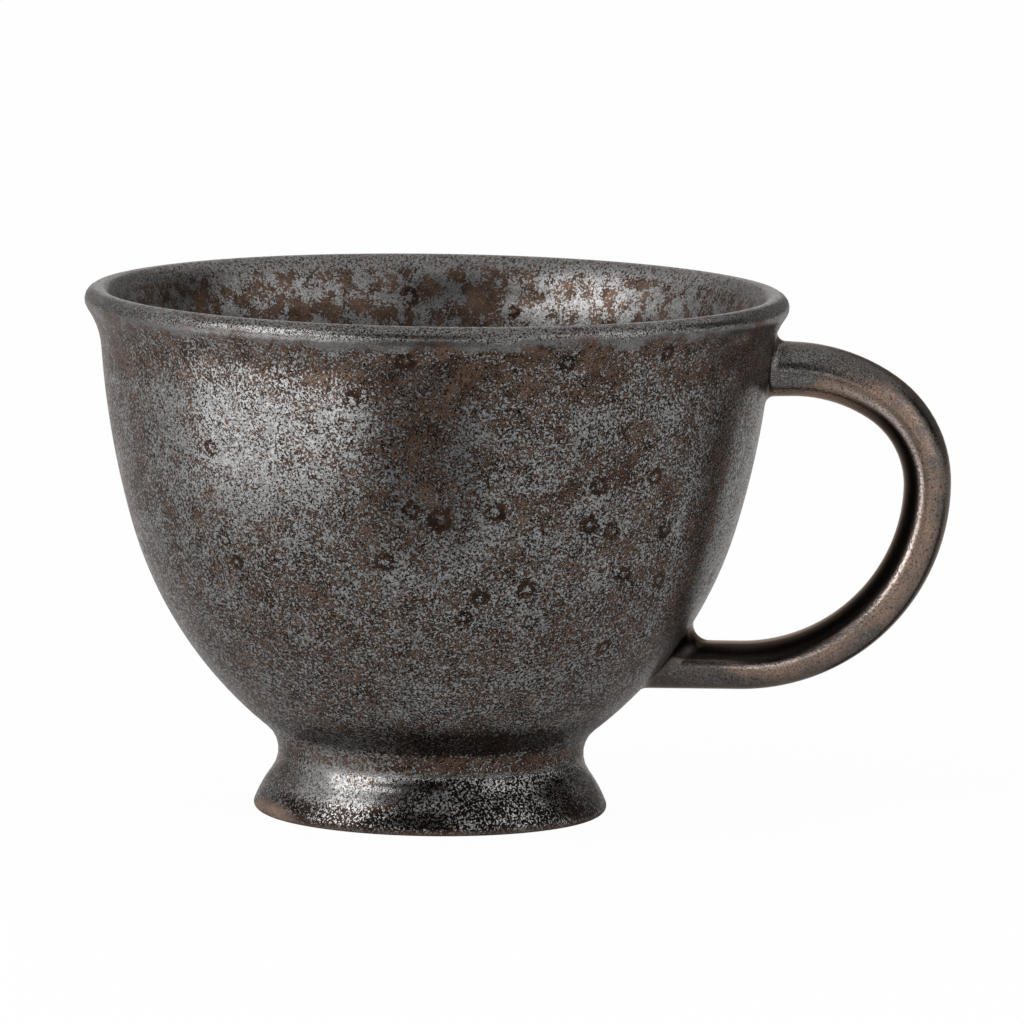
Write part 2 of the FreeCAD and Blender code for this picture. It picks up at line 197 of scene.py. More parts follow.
def place_group(nodes, group_name, inputs):
    """Places a node group in a material and returns its outputs."""
    node = nodes.make("ShaderNodeGroup", node_tree=bpy.data.node_groups[group_name])
    for name, value in inputs.items():
        feed(nodes.tree, node.inputs[name], value)
    return node.outputs


def new_material(name):
    """An empty material with a Principled surface; returns it, its node maker and the shader."""
    material = bpy.data.materials.new(name)
    material.use_nodes = True
    material.node_tree.nodes.clear()
    nodes = Nodes(material.node_tree)
    shader = nodes.make("ShaderNodeBsdfPrincipled")
    output = nodes.make("ShaderNodeOutputMaterial")
    feed(nodes.tree, output.inputs["Surface"], shader.outputs[0])
    return material, nodes, shader

# %% [markdown]
# ## The studio
#
# The photograph is a catalogue picture on pure white. That white is the colour of the floor and of the
# world as the camera sees them, not more light on the cup: Light Path tells the rays from the camera from
# the rest, and mirrored rays get a share of the white too. For every other ray the floor is pale paint,
# and a little of that stays in what the camera sees, so the floor keeps the cup's shadow.

# %% Floor and world
def flat_sheet(name, corners):
    """One flat face with the given corners, linked to the scene."""
    mesh = bpy.data.meshes.new(name)
    mesh.from_pydata([tuple(corner) for corner in corners], [], [tuple(range(len(corners)))])
    sheet = bpy.data.objects.new(name, mesh)
    bpy.context.scene.collection.objects.link(sheet)
    return sheet


FLOOR_HALF = 12.0
FLOOR_TONE, FLOOR_ROUGHNESS = 0.90, 0.9
WHITE_SHARE = 0.97
MIRRORED_SHARE = 0.20

SQUARE = ((-1, -1), (1, -1), (1, 1), (-1, 1))
floor = flat_sheet("floor", [(x * FLOOR_HALF, y * FLOOR_HALF, 0) for x, y in SQUARE])

floor_paint, paint, paint_shader = new_material("floor_paint")
paint_shader.inputs["Base Color"].default_value = (FLOOR_TONE, FLOOR_TONE, FLOOR_TONE, 1)
paint_shader.inputs["Roughness"].default_value = FLOOR_ROUGHNESS
white = paint.make("ShaderNodeEmission", {"Color": (1, 1, 1, 1), "Strength": 1.0})
sees = paint.make("ShaderNodeLightPath").outputs
mirrored = paint.math("MAXIMUM", sees["Is Glossy Ray"], sees["Is Transmission Ray"])
share = paint.add(paint.mul(sees["Is Camera Ray"], WHITE_SHARE), paint.mul(mirrored, MIRRORED_SHARE))
mixed = paint.make("ShaderNodeMixShader", {0: share, 1: paint_shader.outputs[0], 2: white.outputs[0]})
feed(paint.tree, paint.tree.nodes["Material Output"].inputs["Surface"], mixed.outputs[0])
floor.data.materials.append(floor_paint)

ROOM_LIGHT = 0.65
world = bpy.data.worlds.new("studio")
bpy.context.scene.world = world
world.use_nodes = True
world.node_tree.nodes.clear()
air = Nodes(world.node_tree)
path = air.make("ShaderNodeLightPath").outputs
shown = air.math("MAXIMUM", path["Is Camera Ray"],
                 air.math("MAXIMUM", path["Is Glossy Ray"], path["Is Transmission Ray"]))
strength = air.between(shown, ROOM_LIGHT, 1.0)
sky = air.make("ShaderNodeBackground", {"Color": (1, 1, 1, 1), "Strength": strength})
air_out = air.make("ShaderNodeOutputWorld")
feed(world.node_tree, air_out.inputs["Surface"], sky.outputs[0])
print("floor", 2 * FLOOR_HALF, "m wide, room light", ROOM_LIGHT)

# %% [markdown]
# Two wide soft lamps stand left and right of the camera, the left one much brighter.

# %% Lamps
LAMPS = (
    # name, turn from the camera's side in degrees, height, distance, width, tall, watts
    ("lamp_left", -56, 0.73, 1.4, 1.4, 1.2, 14.8),
    ("lamp_right", 62, 0.70, 1.5, 0.8, 1.1, 1.8),
)


def round_cup(turn, away, height):
    """The point (d sin a, -d cos a, height): d from the cup's axis, a turned from the camera's side."""
    return (away * math.sin(turn), -away * math.cos(turn), height)


for name, turn, height, away, wide, tall, watts in LAMPS:
    lamp = bpy.data.lights.new(name, "AREA")
    lamp.shape = "RECTANGLE"
    lamp.size, lamp.size_y = wide, tall
    lamp.energy = watts
    holder = bpy.data.objects.new(name, lamp)
    bpy.context.scene.collection.objects.link(holder)
    place = Vector(round_cup(math.radians(turn), away, height))
    aim = (LOOK_AT - place).to_track_quat("-Z", "Y")
    holder.matrix_world = Matrix.Translation(place) @ aim.to_matrix().to_4x4()
print(len(LAMPS), "lamps")

# %% [markdown]
# A shiny cup shows the room it stands in, so the rest of the studio is cards that only reflections see.
# They light nothing and hide nothing from the camera. The cards in front get darker upwards, with another
# dark one high on the left. The lowest of them is lit and shows in the lip as a light line. A black
# card on the right is for what faces up a little on that side: the lip, the foot's side and the handle.
# Two cards behind are what the outermost flanks mirror, and a softly lit one above gives the surfaces
# that face up their grey.

# %% Upright cards and a card above
CARDS = (
    # name, turn from the camera's side in degrees, distance, width, lower edge, upper edge, tone, glow
    ("card_front_low", -2, 1.9, 1.3, 0.05, 0.36, 0.80, 0.90),
    ("card_front_middle", -2, 1.9, 1.3, 0.36, 0.9, 0.24, 0.0),
    ("card_front_high", -2, 1.9, 1.3, 0.9, 2.6, 0.04, 0.0),
    ("card_high_left", -33, 1.3, 0.75, 0.56, 1.9, 0.04, 0.0),
    ("card_right", 108, 1.2, 0.55, 0.30, 1.1, 0.0, 0.0),
    ("card_back_left", -140, 2.2, 2.6, 0.0, 1.3, 0.70, 0.0),
    ("card_back_right", 140, 2.2, 2.6, 0.0, 1.6, 0.40, 0.0),
)
CEILING_HEIGHT, CEILING_HALF = 2.0, 1.8
CEILING_TONE, CEILING_GLOW = 0.10, 0.68


def felt_on(card, tone, glow):
    """Felt, or lit paper, on a card that only reflections see."""
    card.visible_camera = False
    card.visible_shadow = False
    card.visible_diffuse = False
    felt, _, felt_shader = new_material(card.name + "_felt")
    felt_shader.inputs["Base Color"].default_value = (tone, tone, tone, 1)
    felt_shader.inputs["Roughness"].default_value = 1.0
    felt_shader.inputs["Specular IOR Level"].default_value = 0.0
    felt_shader.inputs["Emission Color"].default_value = (1, 1, 1, 1)
    felt_shader.inputs["Emission Strength"].default_value = glow
    card.data.materials.append(felt)


for name, turn, away, wide, low, high, tone, glow in CARDS:
    angle = math.radians(turn)
    centre = np.array(round_cup(angle, away, (low + high) / 2))
    across = np.array((math.cos(angle), math.sin(angle), 0)) * wide / 2
    up = np.array((0, 0, (high - low) / 2))
    card = flat_sheet(name, [centre + a * across + b * up for a, b in SQUARE])
    felt_on(card, tone, glow)

overhead = [(x * CEILING_HALF, y * CEILING_HALF, CEILING_HEIGHT) for x, y in reversed(SQUARE)]
ceiling = flat_sheet("card_above", overhead)
felt_on(ceiling, CEILING_TONE, CEILING_GLOW)
print(len(CARDS), "upright cards and one above")

# %% [markdown]
# The bowl leans out over the table, so what most of it mirrors is the table. Three more cards lie there,
# cut as sectors round the cup: a dark one in front, a bright sheet on the left, which whitens the left
# flank, and a narrow black one on the right, whose image is the dark line down the right flank.

# %% Cards on the table
TABLE_CARDS = (
    # name, turns from the camera's side in degrees, distances from the cup's axis, tone, glow
    ("table_front", (-20, 15), (0.118, 1.8), 0.32, 0.0),
    ("table_left", (-86, -25), (0.183, 1.0), 0.80, 1.50),
    ("table_right", (102, 116), (0.075, 0.36), 0.01, 0.0),
)
for name, turns, (near, far), tone, glow in TABLE_CARDS:
    start, end = map(math.radians, turns)
    sector = ((start, near), (start, far), (end, far), (end, near))
    table_card = flat_sheet(name, [round_cup(turn, away, MM) for turn, away in sector])
    felt_on(table_card, tone, glow)
print(len(TABLE_CARDS), "cards on the table")

# %% [markdown]
# ## The form of the cup
#
# A thrown cup is a surface of revolution: one profile, carried once round the axis. The profile is a chain
# of arcs and lines that touch each other smoothly, so it is worked out from a few driving sizes: the rim,
# the flare under it, two long arcs of the wall, the waist above the foot and the foot's edge. The inside
# follows the outside at the wall's thickness as far as the belly and then closes on the floor, and the
# foot is hollow underneath.

# %% Driving sizes, in millimetres
RIM = 110.0 / 2
HEIGHT = 82.1
WALL = 4.0
FLARE_DROP, FLARE_ROUND = 10.5, 12.5
PLUMB_HEIGHT, UPPER_ROUND = 83.4, 135.7
BELLY_HEIGHT = 45.3
WAIST, WAIST_HEIGHT, WAIST_ROUND = RIM - 31.05, 9.3, 5.35
FOOT, FOOT_EDGE, SIDE_SWELL = WAIST + 3.75, 1.0, 20.0
FLOOR_HEIGHT, FLOOR_ROUND, FLOOR_FLAT = 12.0, 20.0, WAIST - 13.25
RING, RING_EDGE = FOOT - 7.2, 1.0
RECESS, RECESS_LEAN, RECESS_ROUND = 6.4, math.radians(12), 2.0


def along(start, end, length):
    """The point at a length from start on the way to end."""
    share = length / math.dist(start, end)
    return (start[0] + share * (end[0] - start[0]), start[1] + share * (end[1] - start[1]))


def touching_round(point, normal, centre, radius):
    """Radius of the arc that leaves a point square to its normal and closes on a circle.

    With q from the circle's centre to the point and n the normal, it is (q.q - r squared) / (2 (q.n - r)).
    A hollow circle, met from outside, has a negative r.
    """
    q = (point[0] - centre[0], point[1] - centre[1])
    return (q[0] ** 2 + q[1] ** 2 - radius ** 2) / (2 * (q[0] * normal[0] + q[1] * normal[1] - radius))


lip = (RIM - WALL / 2, HEIGHT - WALL / 2)
flare_level = HEIGHT - FLARE_DROP
flare = (lip[0] + math.sqrt((FLARE_ROUND + WALL / 2) ** 2 - (lip[1] - flare_level) ** 2), flare_level)
upper_reach = math.sqrt((UPPER_ROUND + FLARE_ROUND) ** 2 - (flare_level - PLUMB_HEIGHT) ** 2)
upper = (flare[0] - upper_reach, PLUMB_HEIGHT)
belly_sink = (PLUMB_HEIGHT - BELLY_HEIGHT) / UPPER_ROUND
belly_normal = (math.sqrt(1 - belly_sink ** 2), -belly_sink)
belly = (upper[0] + UPPER_ROUND * belly_normal[0], BELLY_HEIGHT)
waist = (WAIST + WAIST_ROUND, WAIST_HEIGHT)
lower_round = touching_round(belly, belly_normal, waist, -WAIST_ROUND)
lower = along(belly, upper, lower_round)
inner_belly = along(belly, upper, WALL)
floor_bend = (FLOOR_FLAT, FLOOR_HEIGHT + FLOOR_ROUND)
inner_lower_round = touching_round(inner_belly, belly_normal, floor_bend, FLOOR_ROUND)
inner_lower = along(inner_belly, upper, inner_lower_round)
foot = (FOOT - FOOT_EDGE, FOOT_EDGE)
crest = (lip[0], HEIGHT)
print("wall arcs, mm: outside %.1f, inside %.1f" % (lower_round, inner_lower_round))

# %% [markdown]
# The chain is sampled piece by piece. Each arc gets points in step with its length, and small rounds get
# at least a handful, because a highlight runs along them.

# %% Sampling an arc, a line and a chain
STEP = 1.25
FEWEST = 7


def sampled_arc(centre, radius, start, end):
    """Points from start to end about a centre, the short way: centre + radius (cos a, sin a)."""
    first = math.atan2(start[1] - centre[1], start[0] - centre[0])
    turn = math.atan2(end[1] - centre[1], end[0] - centre[0]) - first
    turn = (turn + math.pi) % (2 * math.pi) - math.pi
    count = max(FEWEST, int(abs(turn) * radius / STEP) + 1)
    angles = first + turn * np.linspace(0, 1, count)
    return np.stack((centre[0] + radius * np.cos(angles), centre[1] + radius * np.sin(angles)), axis=1)


def sampled_line(start, end):
    """Points from start to end, about a step apart: start (1 - share) + end share."""
    count = max(2, int(math.dist(start, end) / STEP) + 1)
    share = np.linspace(0, 1, count)[:, None]
    return np.array(start) * (1 - share) + np.array(end) * share


def joined(parts):
    """One chain of points out of pieces that share their ends."""
    return np.concatenate([part[:-1] for part in parts[:-1]] + [parts[-1]])


quarter_of_lip = sampled_arc(lip, WALL / 2, crest, (RIM, lip[1]))
print("a quarter of the lip's round takes", len(quarter_of_lip), "points")

# %% [markdown]
# Two arcs that touch meet on the line through their centres, so every joint of the chain is a point on such
# a line. The side of the foot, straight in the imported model, swells here by less than two tenths of a
# millimetre, which is enough to bend the light on it. Its centre follows from the law of cosines in the
# triangle of the foot's edge, the waist and the swell.

# %% Where the arcs meet
foot_to_waist = math.dist(foot, waist)
from_foot, from_waist = SIDE_SWELL - FOOT_EDGE, SIDE_SWELL + WAIST_ROUND
cosine = (from_foot ** 2 + foot_to_waist ** 2 - from_waist ** 2) / (2 * from_foot * foot_to_waist)
side_heading = math.atan2(waist[1] - foot[1], waist[0] - foot[0]) + math.acos(cosine)
swell = (foot[0] + from_foot * math.cos(side_heading), foot[1] + from_foot * math.sin(side_heading))
side_low = along(swell, foot, SIDE_SWELL)
side_high = along(swell, waist, SIDE_SWELL)
waist_top = along(waist, lower, WAIST_ROUND)
flare_low = along(flare, upper, FLARE_ROUND)
flare_top = along(flare, lip, FLARE_ROUND)

floor_bend_top = along(inner_lower, floor_bend, inner_lower_round)
inner_flare_low = along(flare, upper, FLARE_ROUND + WALL)
inner_flare_top = along(flare, lip, FLARE_ROUND + WALL)

recess_level = RECESS - RECESS_ROUND
recess_reach = RING - recess_level * math.tan(RECESS_LEAN) - RECESS_ROUND / math.cos(RECESS_LEAN)
recess_corner = (recess_reach, recess_level)
recess_side_top = (recess_corner[0] + RECESS_ROUND * math.cos(RECESS_LEAN),
                   recess_corner[1] + RECESS_ROUND * math.sin(RECESS_LEAN))
ring_reach = RING_EDGE * math.tan((math.pi / 2 - RECESS_LEAN) / 2)
ring_flat = (RING + ring_reach, 0.0)
ring_centre = (RING + ring_reach, RING_EDGE)
ring_side = along((RING, 0.0), recess_side_top, ring_reach)
print("radii, mm: waist %.1f, foot %.1f, standing ring from %.1f" % (WAIST, FOOT, ring_flat[0]))

# %% The profile as points
outside = joined([
    sampled_arc(lip, WALL / 2, crest, flare_top),
    sampled_arc(flare, FLARE_ROUND, flare_top, flare_low),
    sampled_arc(upper, UPPER_ROUND, flare_low, belly),
    sampled_arc(lower, lower_round, belly, waist_top),
    sampled_arc(waist, WAIST_ROUND, waist_top, side_high),
    sampled_arc(swell, SIDE_SWELL, side_high, side_low),
    sampled_arc(foot, FOOT_EDGE, side_low, (foot[0], 0.0)),
])
underside = joined([
    sampled_line((foot[0], 0.0), ring_flat),
    sampled_arc(ring_centre, RING_EDGE, ring_flat, ring_side),
    sampled_line(ring_side, recess_side_top),
    sampled_arc(recess_corner, RECESS_ROUND, recess_side_top, (recess_corner[0], RECESS)),
    sampled_line((recess_corner[0], RECESS), (0.0, RECESS)),
])
inside = joined([
    sampled_line((0.0, FLOOR_HEIGHT), (floor_bend[0], FLOOR_HEIGHT)),
    sampled_arc(floor_bend, FLOOR_ROUND, (floor_bend[0], FLOOR_HEIGHT), floor_bend_top),
    sampled_arc(inner_lower, inner_lower_round, floor_bend_top, inner_belly),
    sampled_arc(upper, UPPER_ROUND - WALL, inner_belly, inner_flare_low),
    sampled_arc(flare, FLARE_ROUND + WALL, inner_flare_low, inner_flare_top),
    sampled_arc(lip, WALL / 2, inner_flare_top, crest),
])
profile = np.concatenate((inside[:-1], outside[:-1], underside))
print("profile:", len(inside), "points inside,", len(outside), "outside,", len(underside), "underneath")

# %% [markdown]
# ## Turning the profile
#
# Carrying the profile round the axis is one line of numpy: the point at angle a is (r cos a, r sin a, z).
# The two ends of the profile lie on the axis, where the rings shrink to a point, so each end is a single
# vertex with a fan of triangles and the surface is closed.

# %% The turned form
AROUND = 288


def ring_faces(rings, around):
    """Quads between neighbouring closed rings of vertices, as an array of corner numbers."""
    ring, spoke = np.meshgrid(np.arange(rings - 1), np.arange(around), indexing="ij")
    following = (spoke + 1) % around
    corners = (ring * around + spoke, ring * around + following,
               (ring + 1) * around + following, (ring + 1) * around + spoke)
    return np.stack(corners, axis=-1).reshape(-1, 4)


def pole_faces(ring_start, around, pole, outward):
    """Triangles from one ring to the single vertex that closes it."""
    spoke = np.arange(around)
    near, far = ring_start + spoke, ring_start + (spoke + 1) % around
    apex = np.full(around, pole)
    return np.stack((near, far, apex) if outward else (far, near, apex), axis=1)


def turned(profile_points, around):
    """Vertices and faces of a profile carried once round Z: (r cos a, r sin a, z)."""
    body_points = profile_points[1:-1]
    angle = np.linspace(0, 2 * math.pi, around, endpoint=False)
    radius, level = body_points[:, :1], body_points[:, 1:]
    rings = np.stack((radius * np.cos(angle), radius * np.sin(angle), level + 0 * angle), axis=-1)
    poles = np.array([(0, 0, profile_points[0][1]), (0, 0, profile_points[-1][1])])
    points = np.concatenate((rings.reshape(-1, 3), poles))
    count = len(body_points)
    quads = ring_faces(count, around)[:, ::-1]
    bottom = pole_faces(0, around, count * around, True)
    top = pole_faces((count - 1) * around, around, count * around + 1, False)
    return points, quads, (bottom, top)


turned_points, turned_quads, turned_fans = turned(profile, AROUND)
print("turned form:", len(turned_points), "vertices,", len(turned_quads), "quads")

# %% [markdown]
# ## The handle
#
# The handle was pulled as a strap, thicker at the top than where it bows out, and bent while soft. Its
# middle line is level where it leaves the wall, turns down over a wide shoulder, tightens until it is plumb
# and comes back level under the bowl in one long bend. The section is an oval that changes slowly, so the
# surface is the middle line plus half the width times cos t sideways plus half the depth times sin t
# outwards.

# %% Middle line of the handle, in millimetres
# the upper run below the crest, the bow beyond the rim, and the lower run's level
HANDLE_DROP, HANDLE_REACH, HANDLE_LOW = 11.75, 22.1, 23.5
# the shoulder's radius and turn, and the tighter bend's radius
SHOULDER, SHOULDER_TURN, TIGHT = 25.5, math.radians(33.5), 16.5
# the section's width, and its depth at the top, at the bow and at the bottom
STRAP_WIDTH, STRAP_DEPTHS = 11.0, (8.9, 7.4, 7.6)
# how far inside the rim's radius the middle line starts
EMBED = 10.0

run_high = HEIGHT - HANDLE_DROP
bow = RIM + HANDLE_REACH
bow_level = run_high - SHOULDER * (1 - math.cos(SHOULDER_TURN)) - TIGHT * math.cos(SHOULDER_TURN)
tight = (bow - TIGHT, bow_level)
shoulder = (tight[0] - (SHOULDER - TIGHT) * math.sin(SHOULDER_TURN), run_high - SHOULDER)
shoulder_end = (shoulder[0] + SHOULDER * math.sin(SHOULDER_TURN),
                shoulder[1] + SHOULDER * math.cos(SHOULDER_TURN))
wide_round = bow_level - HANDLE_LOW
wide = (bow - wide_round, bow_level)

middle_line = joined([
    sampled_line((RIM - EMBED, run_high), (shoulder[0], run_high)),
    sampled_arc(shoulder, SHOULDER, (shoulder[0], run_high), shoulder_end),
    sampled_arc(tight, TIGHT, shoulder_end, (bow, bow_level)),
    sampled_arc(wide, wide_round, (bow, bow_level), (wide[0], HANDLE_LOW)),
    sampled_line((wide[0], HANDLE_LOW), (WAIST, HANDLE_LOW)),
])
heading = np.gradient(middle_line, axis=0)
heading /= np.linalg.norm(heading, axis=1, keepdims=True)
outward = np.stack((-heading[:, 1], heading[:, 0]), axis=1)
length = np.concatenate(([0], np.cumsum(np.linalg.norm(np.diff(middle_line, axis=0), axis=1))))
bow_at = length[np.argmax(middle_line[:, 0])]
depth = np.interp(length, (0, bow_at, length[-1]), STRAP_DEPTHS)
print("handle: %.0f mm along its middle, bows out at %.0f mm" % (length[-1], bow_at))

# %% [markdown]
# Where the strap meets the wall the potter works the clay into the corner. Each line along the strap is
# followed to the wall, and the last stretch of it is replaced by an arc that touches both. For an arc of
# radius r in a corner of angle a, the touching points lie r / tan(a / 2) from the corner. The arc ends on
# the wall, and a last ring inside the clay closes the surface where no one sees it.

# %% A worked corner
STRAP_AROUND = 72
JOINT_STEPS = 9

between_waist_and_flare = (outside[:, 1] > waist_top[1]) & (outside[:, 1] < flare_top[1])
wall_line = outside[between_waist_and_flare][::-1]
wall_slope = np.gradient(wall_line[:, 0], wall_line[:, 1])
theta = np.linspace(0, 2 * math.pi, STRAP_AROUND, endpoint=False)


def on_wall(y, z):
    """The point of the wall's outside at y and z, and its outward normal."""
    radius = np.interp(z, wall_line[:, 1], wall_line[:, 0])
    slope = np.interp(z, wall_line[:, 1], wall_slope)
    x = np.sqrt(radius ** 2 - y ** 2)
    normal = np.stack((x / radius, y / radius, -slope), axis=-1)
    return np.stack((x, y, z), axis=-1), normal / np.linalg.norm(normal, axis=-1, keepdims=True)


def joint(level, strap_depth, round_radius):
    """Rings from the strap, over the worked corner, onto the wall and into the clay.

    The corner is an arc as a rational curve: with weight w = sin(a / 2) on the corner c between the ends s
    and e, the point is ((1-u)^2 s + 2u(1-u) w c + u^2 e) / ((1-u)^2 + 2u(1-u) w + u^2).
    """
    y = STRAP_WIDTH / 2 * np.cos(theta)
    z = level + strap_depth / 2 * np.sin(theta)
    corner, normal = on_wall(y, z)
    oval_out = np.stack((0 * theta, np.cos(theta) / STRAP_WIDTH, np.sin(theta) / strap_depth), axis=1)
    up_wall = oval_out - np.sum(oval_out * normal, axis=1, keepdims=True) * normal
    up_wall /= np.linalg.norm(up_wall, axis=1, keepdims=True)
    half_corner = np.arccos(up_wall[:, 0]) / 2
    reach = (round_radius / np.tan(half_corner))[:, None]
    on_strap = corner + reach * np.array((1, 0, 0))
    landed = corner + reach * up_wall
    landed = on_wall(landed[:, 1], landed[:, 2])[0]
    u = np.linspace(0, 1, JOINT_STEPS)[:, None, None]
    weight = np.sin(half_corner)[None, :, None]
    parts = ((1 - u) ** 2, 2 * u * (1 - u) * weight, u ** 2)
    arc_rings = (parts[0] * on_strap + parts[1] * corner + parts[2] * landed) / sum(parts)
    buried = corner - np.array((WALL / 2, 0, 0))
    return np.concatenate((arc_rings, buried[None])), on_strap[:, 0].max()


# %% [markdown]
# Between its joints the strap's rings stand square to the middle line, and the first and last of them keep a
# small gap from the joints' rings so that no faces crowd there. The lower joint's rings run the other way
# round, so they are mirrored before all rings become one closed surface.

# %% The strap between its two joints
UPPER_JOINT, LOWER_JOINT = 1.5, 2.5
LEAST_GAP = 0.5

depth_at_wall = np.interp(RIM - EMBED / 2, (RIM - EMBED, bow), STRAP_DEPTHS[:2])
upper_rings, upper_clear = joint(run_high, depth_at_wall, UPPER_JOINT)
lower_rings, lower_clear = joint(HANDLE_LOW, STRAP_DEPTHS[2], LOWER_JOINT)
clear_of_joint = np.where(middle_line[:, 1] > bow_level, upper_clear, lower_clear)
keep = middle_line[:, 0] >= clear_of_joint + LEAST_GAP
line, out, deep = middle_line[keep], outward[keep], depth[keep]
strap_rings = np.stack((
    line[:, :1] + out[:, :1] * deep[:, None] / 2 * np.sin(theta),
    STRAP_WIDTH / 2 * np.cos(theta) + 0 * deep[:, None],
    line[:, 1:] + out[:, 1:] * deep[:, None] / 2 * np.sin(theta)), axis=-1)
mirrored = (-np.arange(STRAP_AROUND)) % STRAP_AROUND
all_rings = np.concatenate((upper_rings[::-1], strap_rings, lower_rings[:, mirrored]))
ends = np.stack((all_rings[0].mean(axis=0), all_rings[-1].mean(axis=0)))
handle_points = np.concatenate((all_rings.reshape(-1, 3), ends))
handle_quads = ring_faces(len(all_rings), STRAP_AROUND)
last_ring = (len(all_rings) - 1) * STRAP_AROUND
handle_fans = (pole_faces(0, STRAP_AROUND, len(handle_points) - 2, False),
               pole_faces(last_ring, STRAP_AROUND, len(handle_points) - 1, True))
print("handle:", len(handle_points), "vertices")
print("clear of the wall from %.1f mm above and %.1f mm below" % (upper_clear, lower_clear))

# %% [markdown]
# The bowl and the handle become one mesh of two closed surfaces that overlap inside the wall. Signed
# volume tells whether a closed surface faces outwards: the sum of p0 . (p1 x p2) / 6 over its triangles
# is positive when it does.

# %% Make the two surfaces one piece
def triangles_of(quads, fans):
    """The quads cut in two, followed by the fans."""
    return np.concatenate((quads[:, (0, 1, 2)], quads[:, (0, 2, 3)]) + tuple(fans))


def signed_volume(points, triangles):
    """The sum of p0 . (p1 x p2) / 6 over the triangles."""
    a, b, c = points[triangles[:, 0]], points[triangles[:, 1]], points[triangles[:, 2]]
    return np.sum(a * np.cross(b, c)) / 6


print("volumes, cubic centimetres: turned %.1f, handle %.1f" % (
    signed_volume(turned_points, triangles_of(turned_quads, turned_fans)) / 1000,
    signed_volume(handle_points, triangles_of(handle_quads, handle_fans)) / 1000))

shift = len(turned_points)
points = np.concatenate((turned_points, handle_points)) * MM
quads = np.concatenate((turned_quads, handle_quads + shift))
fans = np.concatenate(turned_fans + tuple(fan + shift for fan in handle_fans))
cup_mesh = bpy.data.meshes.new("glazed_cup")
cup_mesh.from_pydata(points, [], quads.tolist() + fans.tolist())
cup_mesh.polygons.foreach_set("use_smooth", np.ones(len(cup_mesh.polygons), dtype=bool))
cup = bpy.data.objects.new("glazed_cup", cup_mesh)
bpy.context.scene.collection.objects.link(cup)
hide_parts("cup")
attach(cup, "root")
print("cup:", len(cup_mesh.polygons), "faces")

# %% [markdown]
# ## Painted dark reflection and highlight on the handle
#
# The inner side of the bow is painted nearly black, a painted dark reflection, and a thin painted highlight
# runs beside it. The shader can't tell which side of the strap a point is on, but here it is known: sin t
# is 1 on the outer side and -1 on the inner one. So the shares are worked out here for each vertex, and
# the material reads them as attributes.

# %% Shares for the handle's glaze, its painted dark reflection and its painted highlight
DOWN_STARTS, DOWN_FULL = RIM + 5, RIM + 15
# edges of the painted dark reflection on the inner side, and of the painted highlight beside it, in sin t
PAINTED_DARK_EDGE = -0.40
LOWER_REACHES, LOWER_PAINTED_DARK_EDGES = (44, 54, 68), (-0.30, -0.14, -0.40)
PAINTED_DARK_DEEPENS, HIGHLIGHT_STARTS = 0.12, -0.05
HIGHLIGHT_FADES = (0.108, 0.228)
INNERMOST = (-0.99, -0.94)
WALL_REACH, WALL_FADE = 7, 10


def rise(value, low, high):
    """The clamped line (value - low) / (high - low): 0 up to low, 1 from high on."""
    return np.clip((value - low) / (high - low), 0, 1)


reach_out, strap_level = handle_points[:, 0], handle_points[:, 2]
below_bow = strap_level < bow_level
outer_side = np.concatenate((np.tile(np.sin(theta), len(all_rings)), (0, 0)))
run_down = np.where(below_bow, 1, rise(reach_out, DOWN_STARTS, DOWN_FULL))
lower_edge = np.interp(reach_out, LOWER_REACHES, LOWER_PAINTED_DARK_EDGES)
from_painted_dark = outer_side - np.where(below_bow, lower_edge, PAINTED_DARK_EDGE)
# the painted dark reflection on the inner side of the strap
pooled_side = run_down * rise(-from_painted_dark, 0, PAINTED_DARK_DEEPENS) * rise(outer_side, *INNERMOST)
# the painted highlight just beside the painted dark reflection
pool_margin = run_down * rise(from_painted_dark, HIGHLIGHT_STARTS, 0) * (1 - rise(from_painted_dark, *HIGHLIGHT_FADES))
clear_of_wall = np.where(strap_level > bow_level, upper_clear, lower_clear)
near_wall = 1 - rise(reach_out, clear_of_wall + WALL_REACH - WALL_FADE, clear_of_wall + WALL_REACH)

for name, on_strap in (("outer_share", outer_side), ("pooled_side", pooled_side),
                       ("pool_margin", pool_margin), ("run_down", run_down), ("near_wall", near_wall)):
    values = np.concatenate((np.zeros(len(turned_points)), on_strap))
    attribute = cup_mesh.attributes.new(name, "FLOAT", "POINT")
    attribute.data.foreach_set("value", values.astype(np.float32))
# the share of the strap's vertices that carry the painted dark reflection
print("pooled glaze on %.0f %% of the strap's vertices" % (100 * np.mean(pooled_side > 0)))

# %% [markdown]
# ## Where gas came through the glaze
#
# Each ring in the glaze has a centre and a size. The rings on the near side follow the photograph. The
# others are strewn by the golden angle, which never lines them up.

# %% Ring centres
FRONT_RINGS = (
    # turn from the camera's side in degrees, height in mm, size in mm
    (-5, 76.7, 3.4), (1, 52.3, 4.4), (-4, 53.6, 3.0), (11, 53.4, 3.6), (29, 51.0, 3.2), (34, 49.7, 3.4),
    (47, 49.1, 3.2), (30, 56.9, 3.4), (42, 57.9, 3.0), (18, 41.1, 3.4), (9, 39.7, 3.2), (6, 36.6, 2.8),
    (20, 35.5, 3.0), (40, 30.6, 3.0), (49, 40.9, 3.0), (39, 42.6, 3.0), (-9, 45.4, 3.4), (-42, 61.3, 3.0),
    (-42, 47.1, 2.8), (-40, 43.6, 2.8), (-14, 70.6, 3.2), (22, 76.5, 3.2), (41, 77.3, 3.0),
)
STREWN = 90
GOLDEN_TURN = math.radians(137.508)
LEVEL_STRIDE, SIZE_STRIDE = 0.7549, 0.5698
OUTER_LOWEST, OUTER_SPAN = 22, 56
INNER_LOWEST, INNER_SPAN, INNER_SHIFT = 30, 46, 0.3
SMALLEST_RING, RING_SPAN = 2.4, 1.6
NEAR_SIDE = 0.35


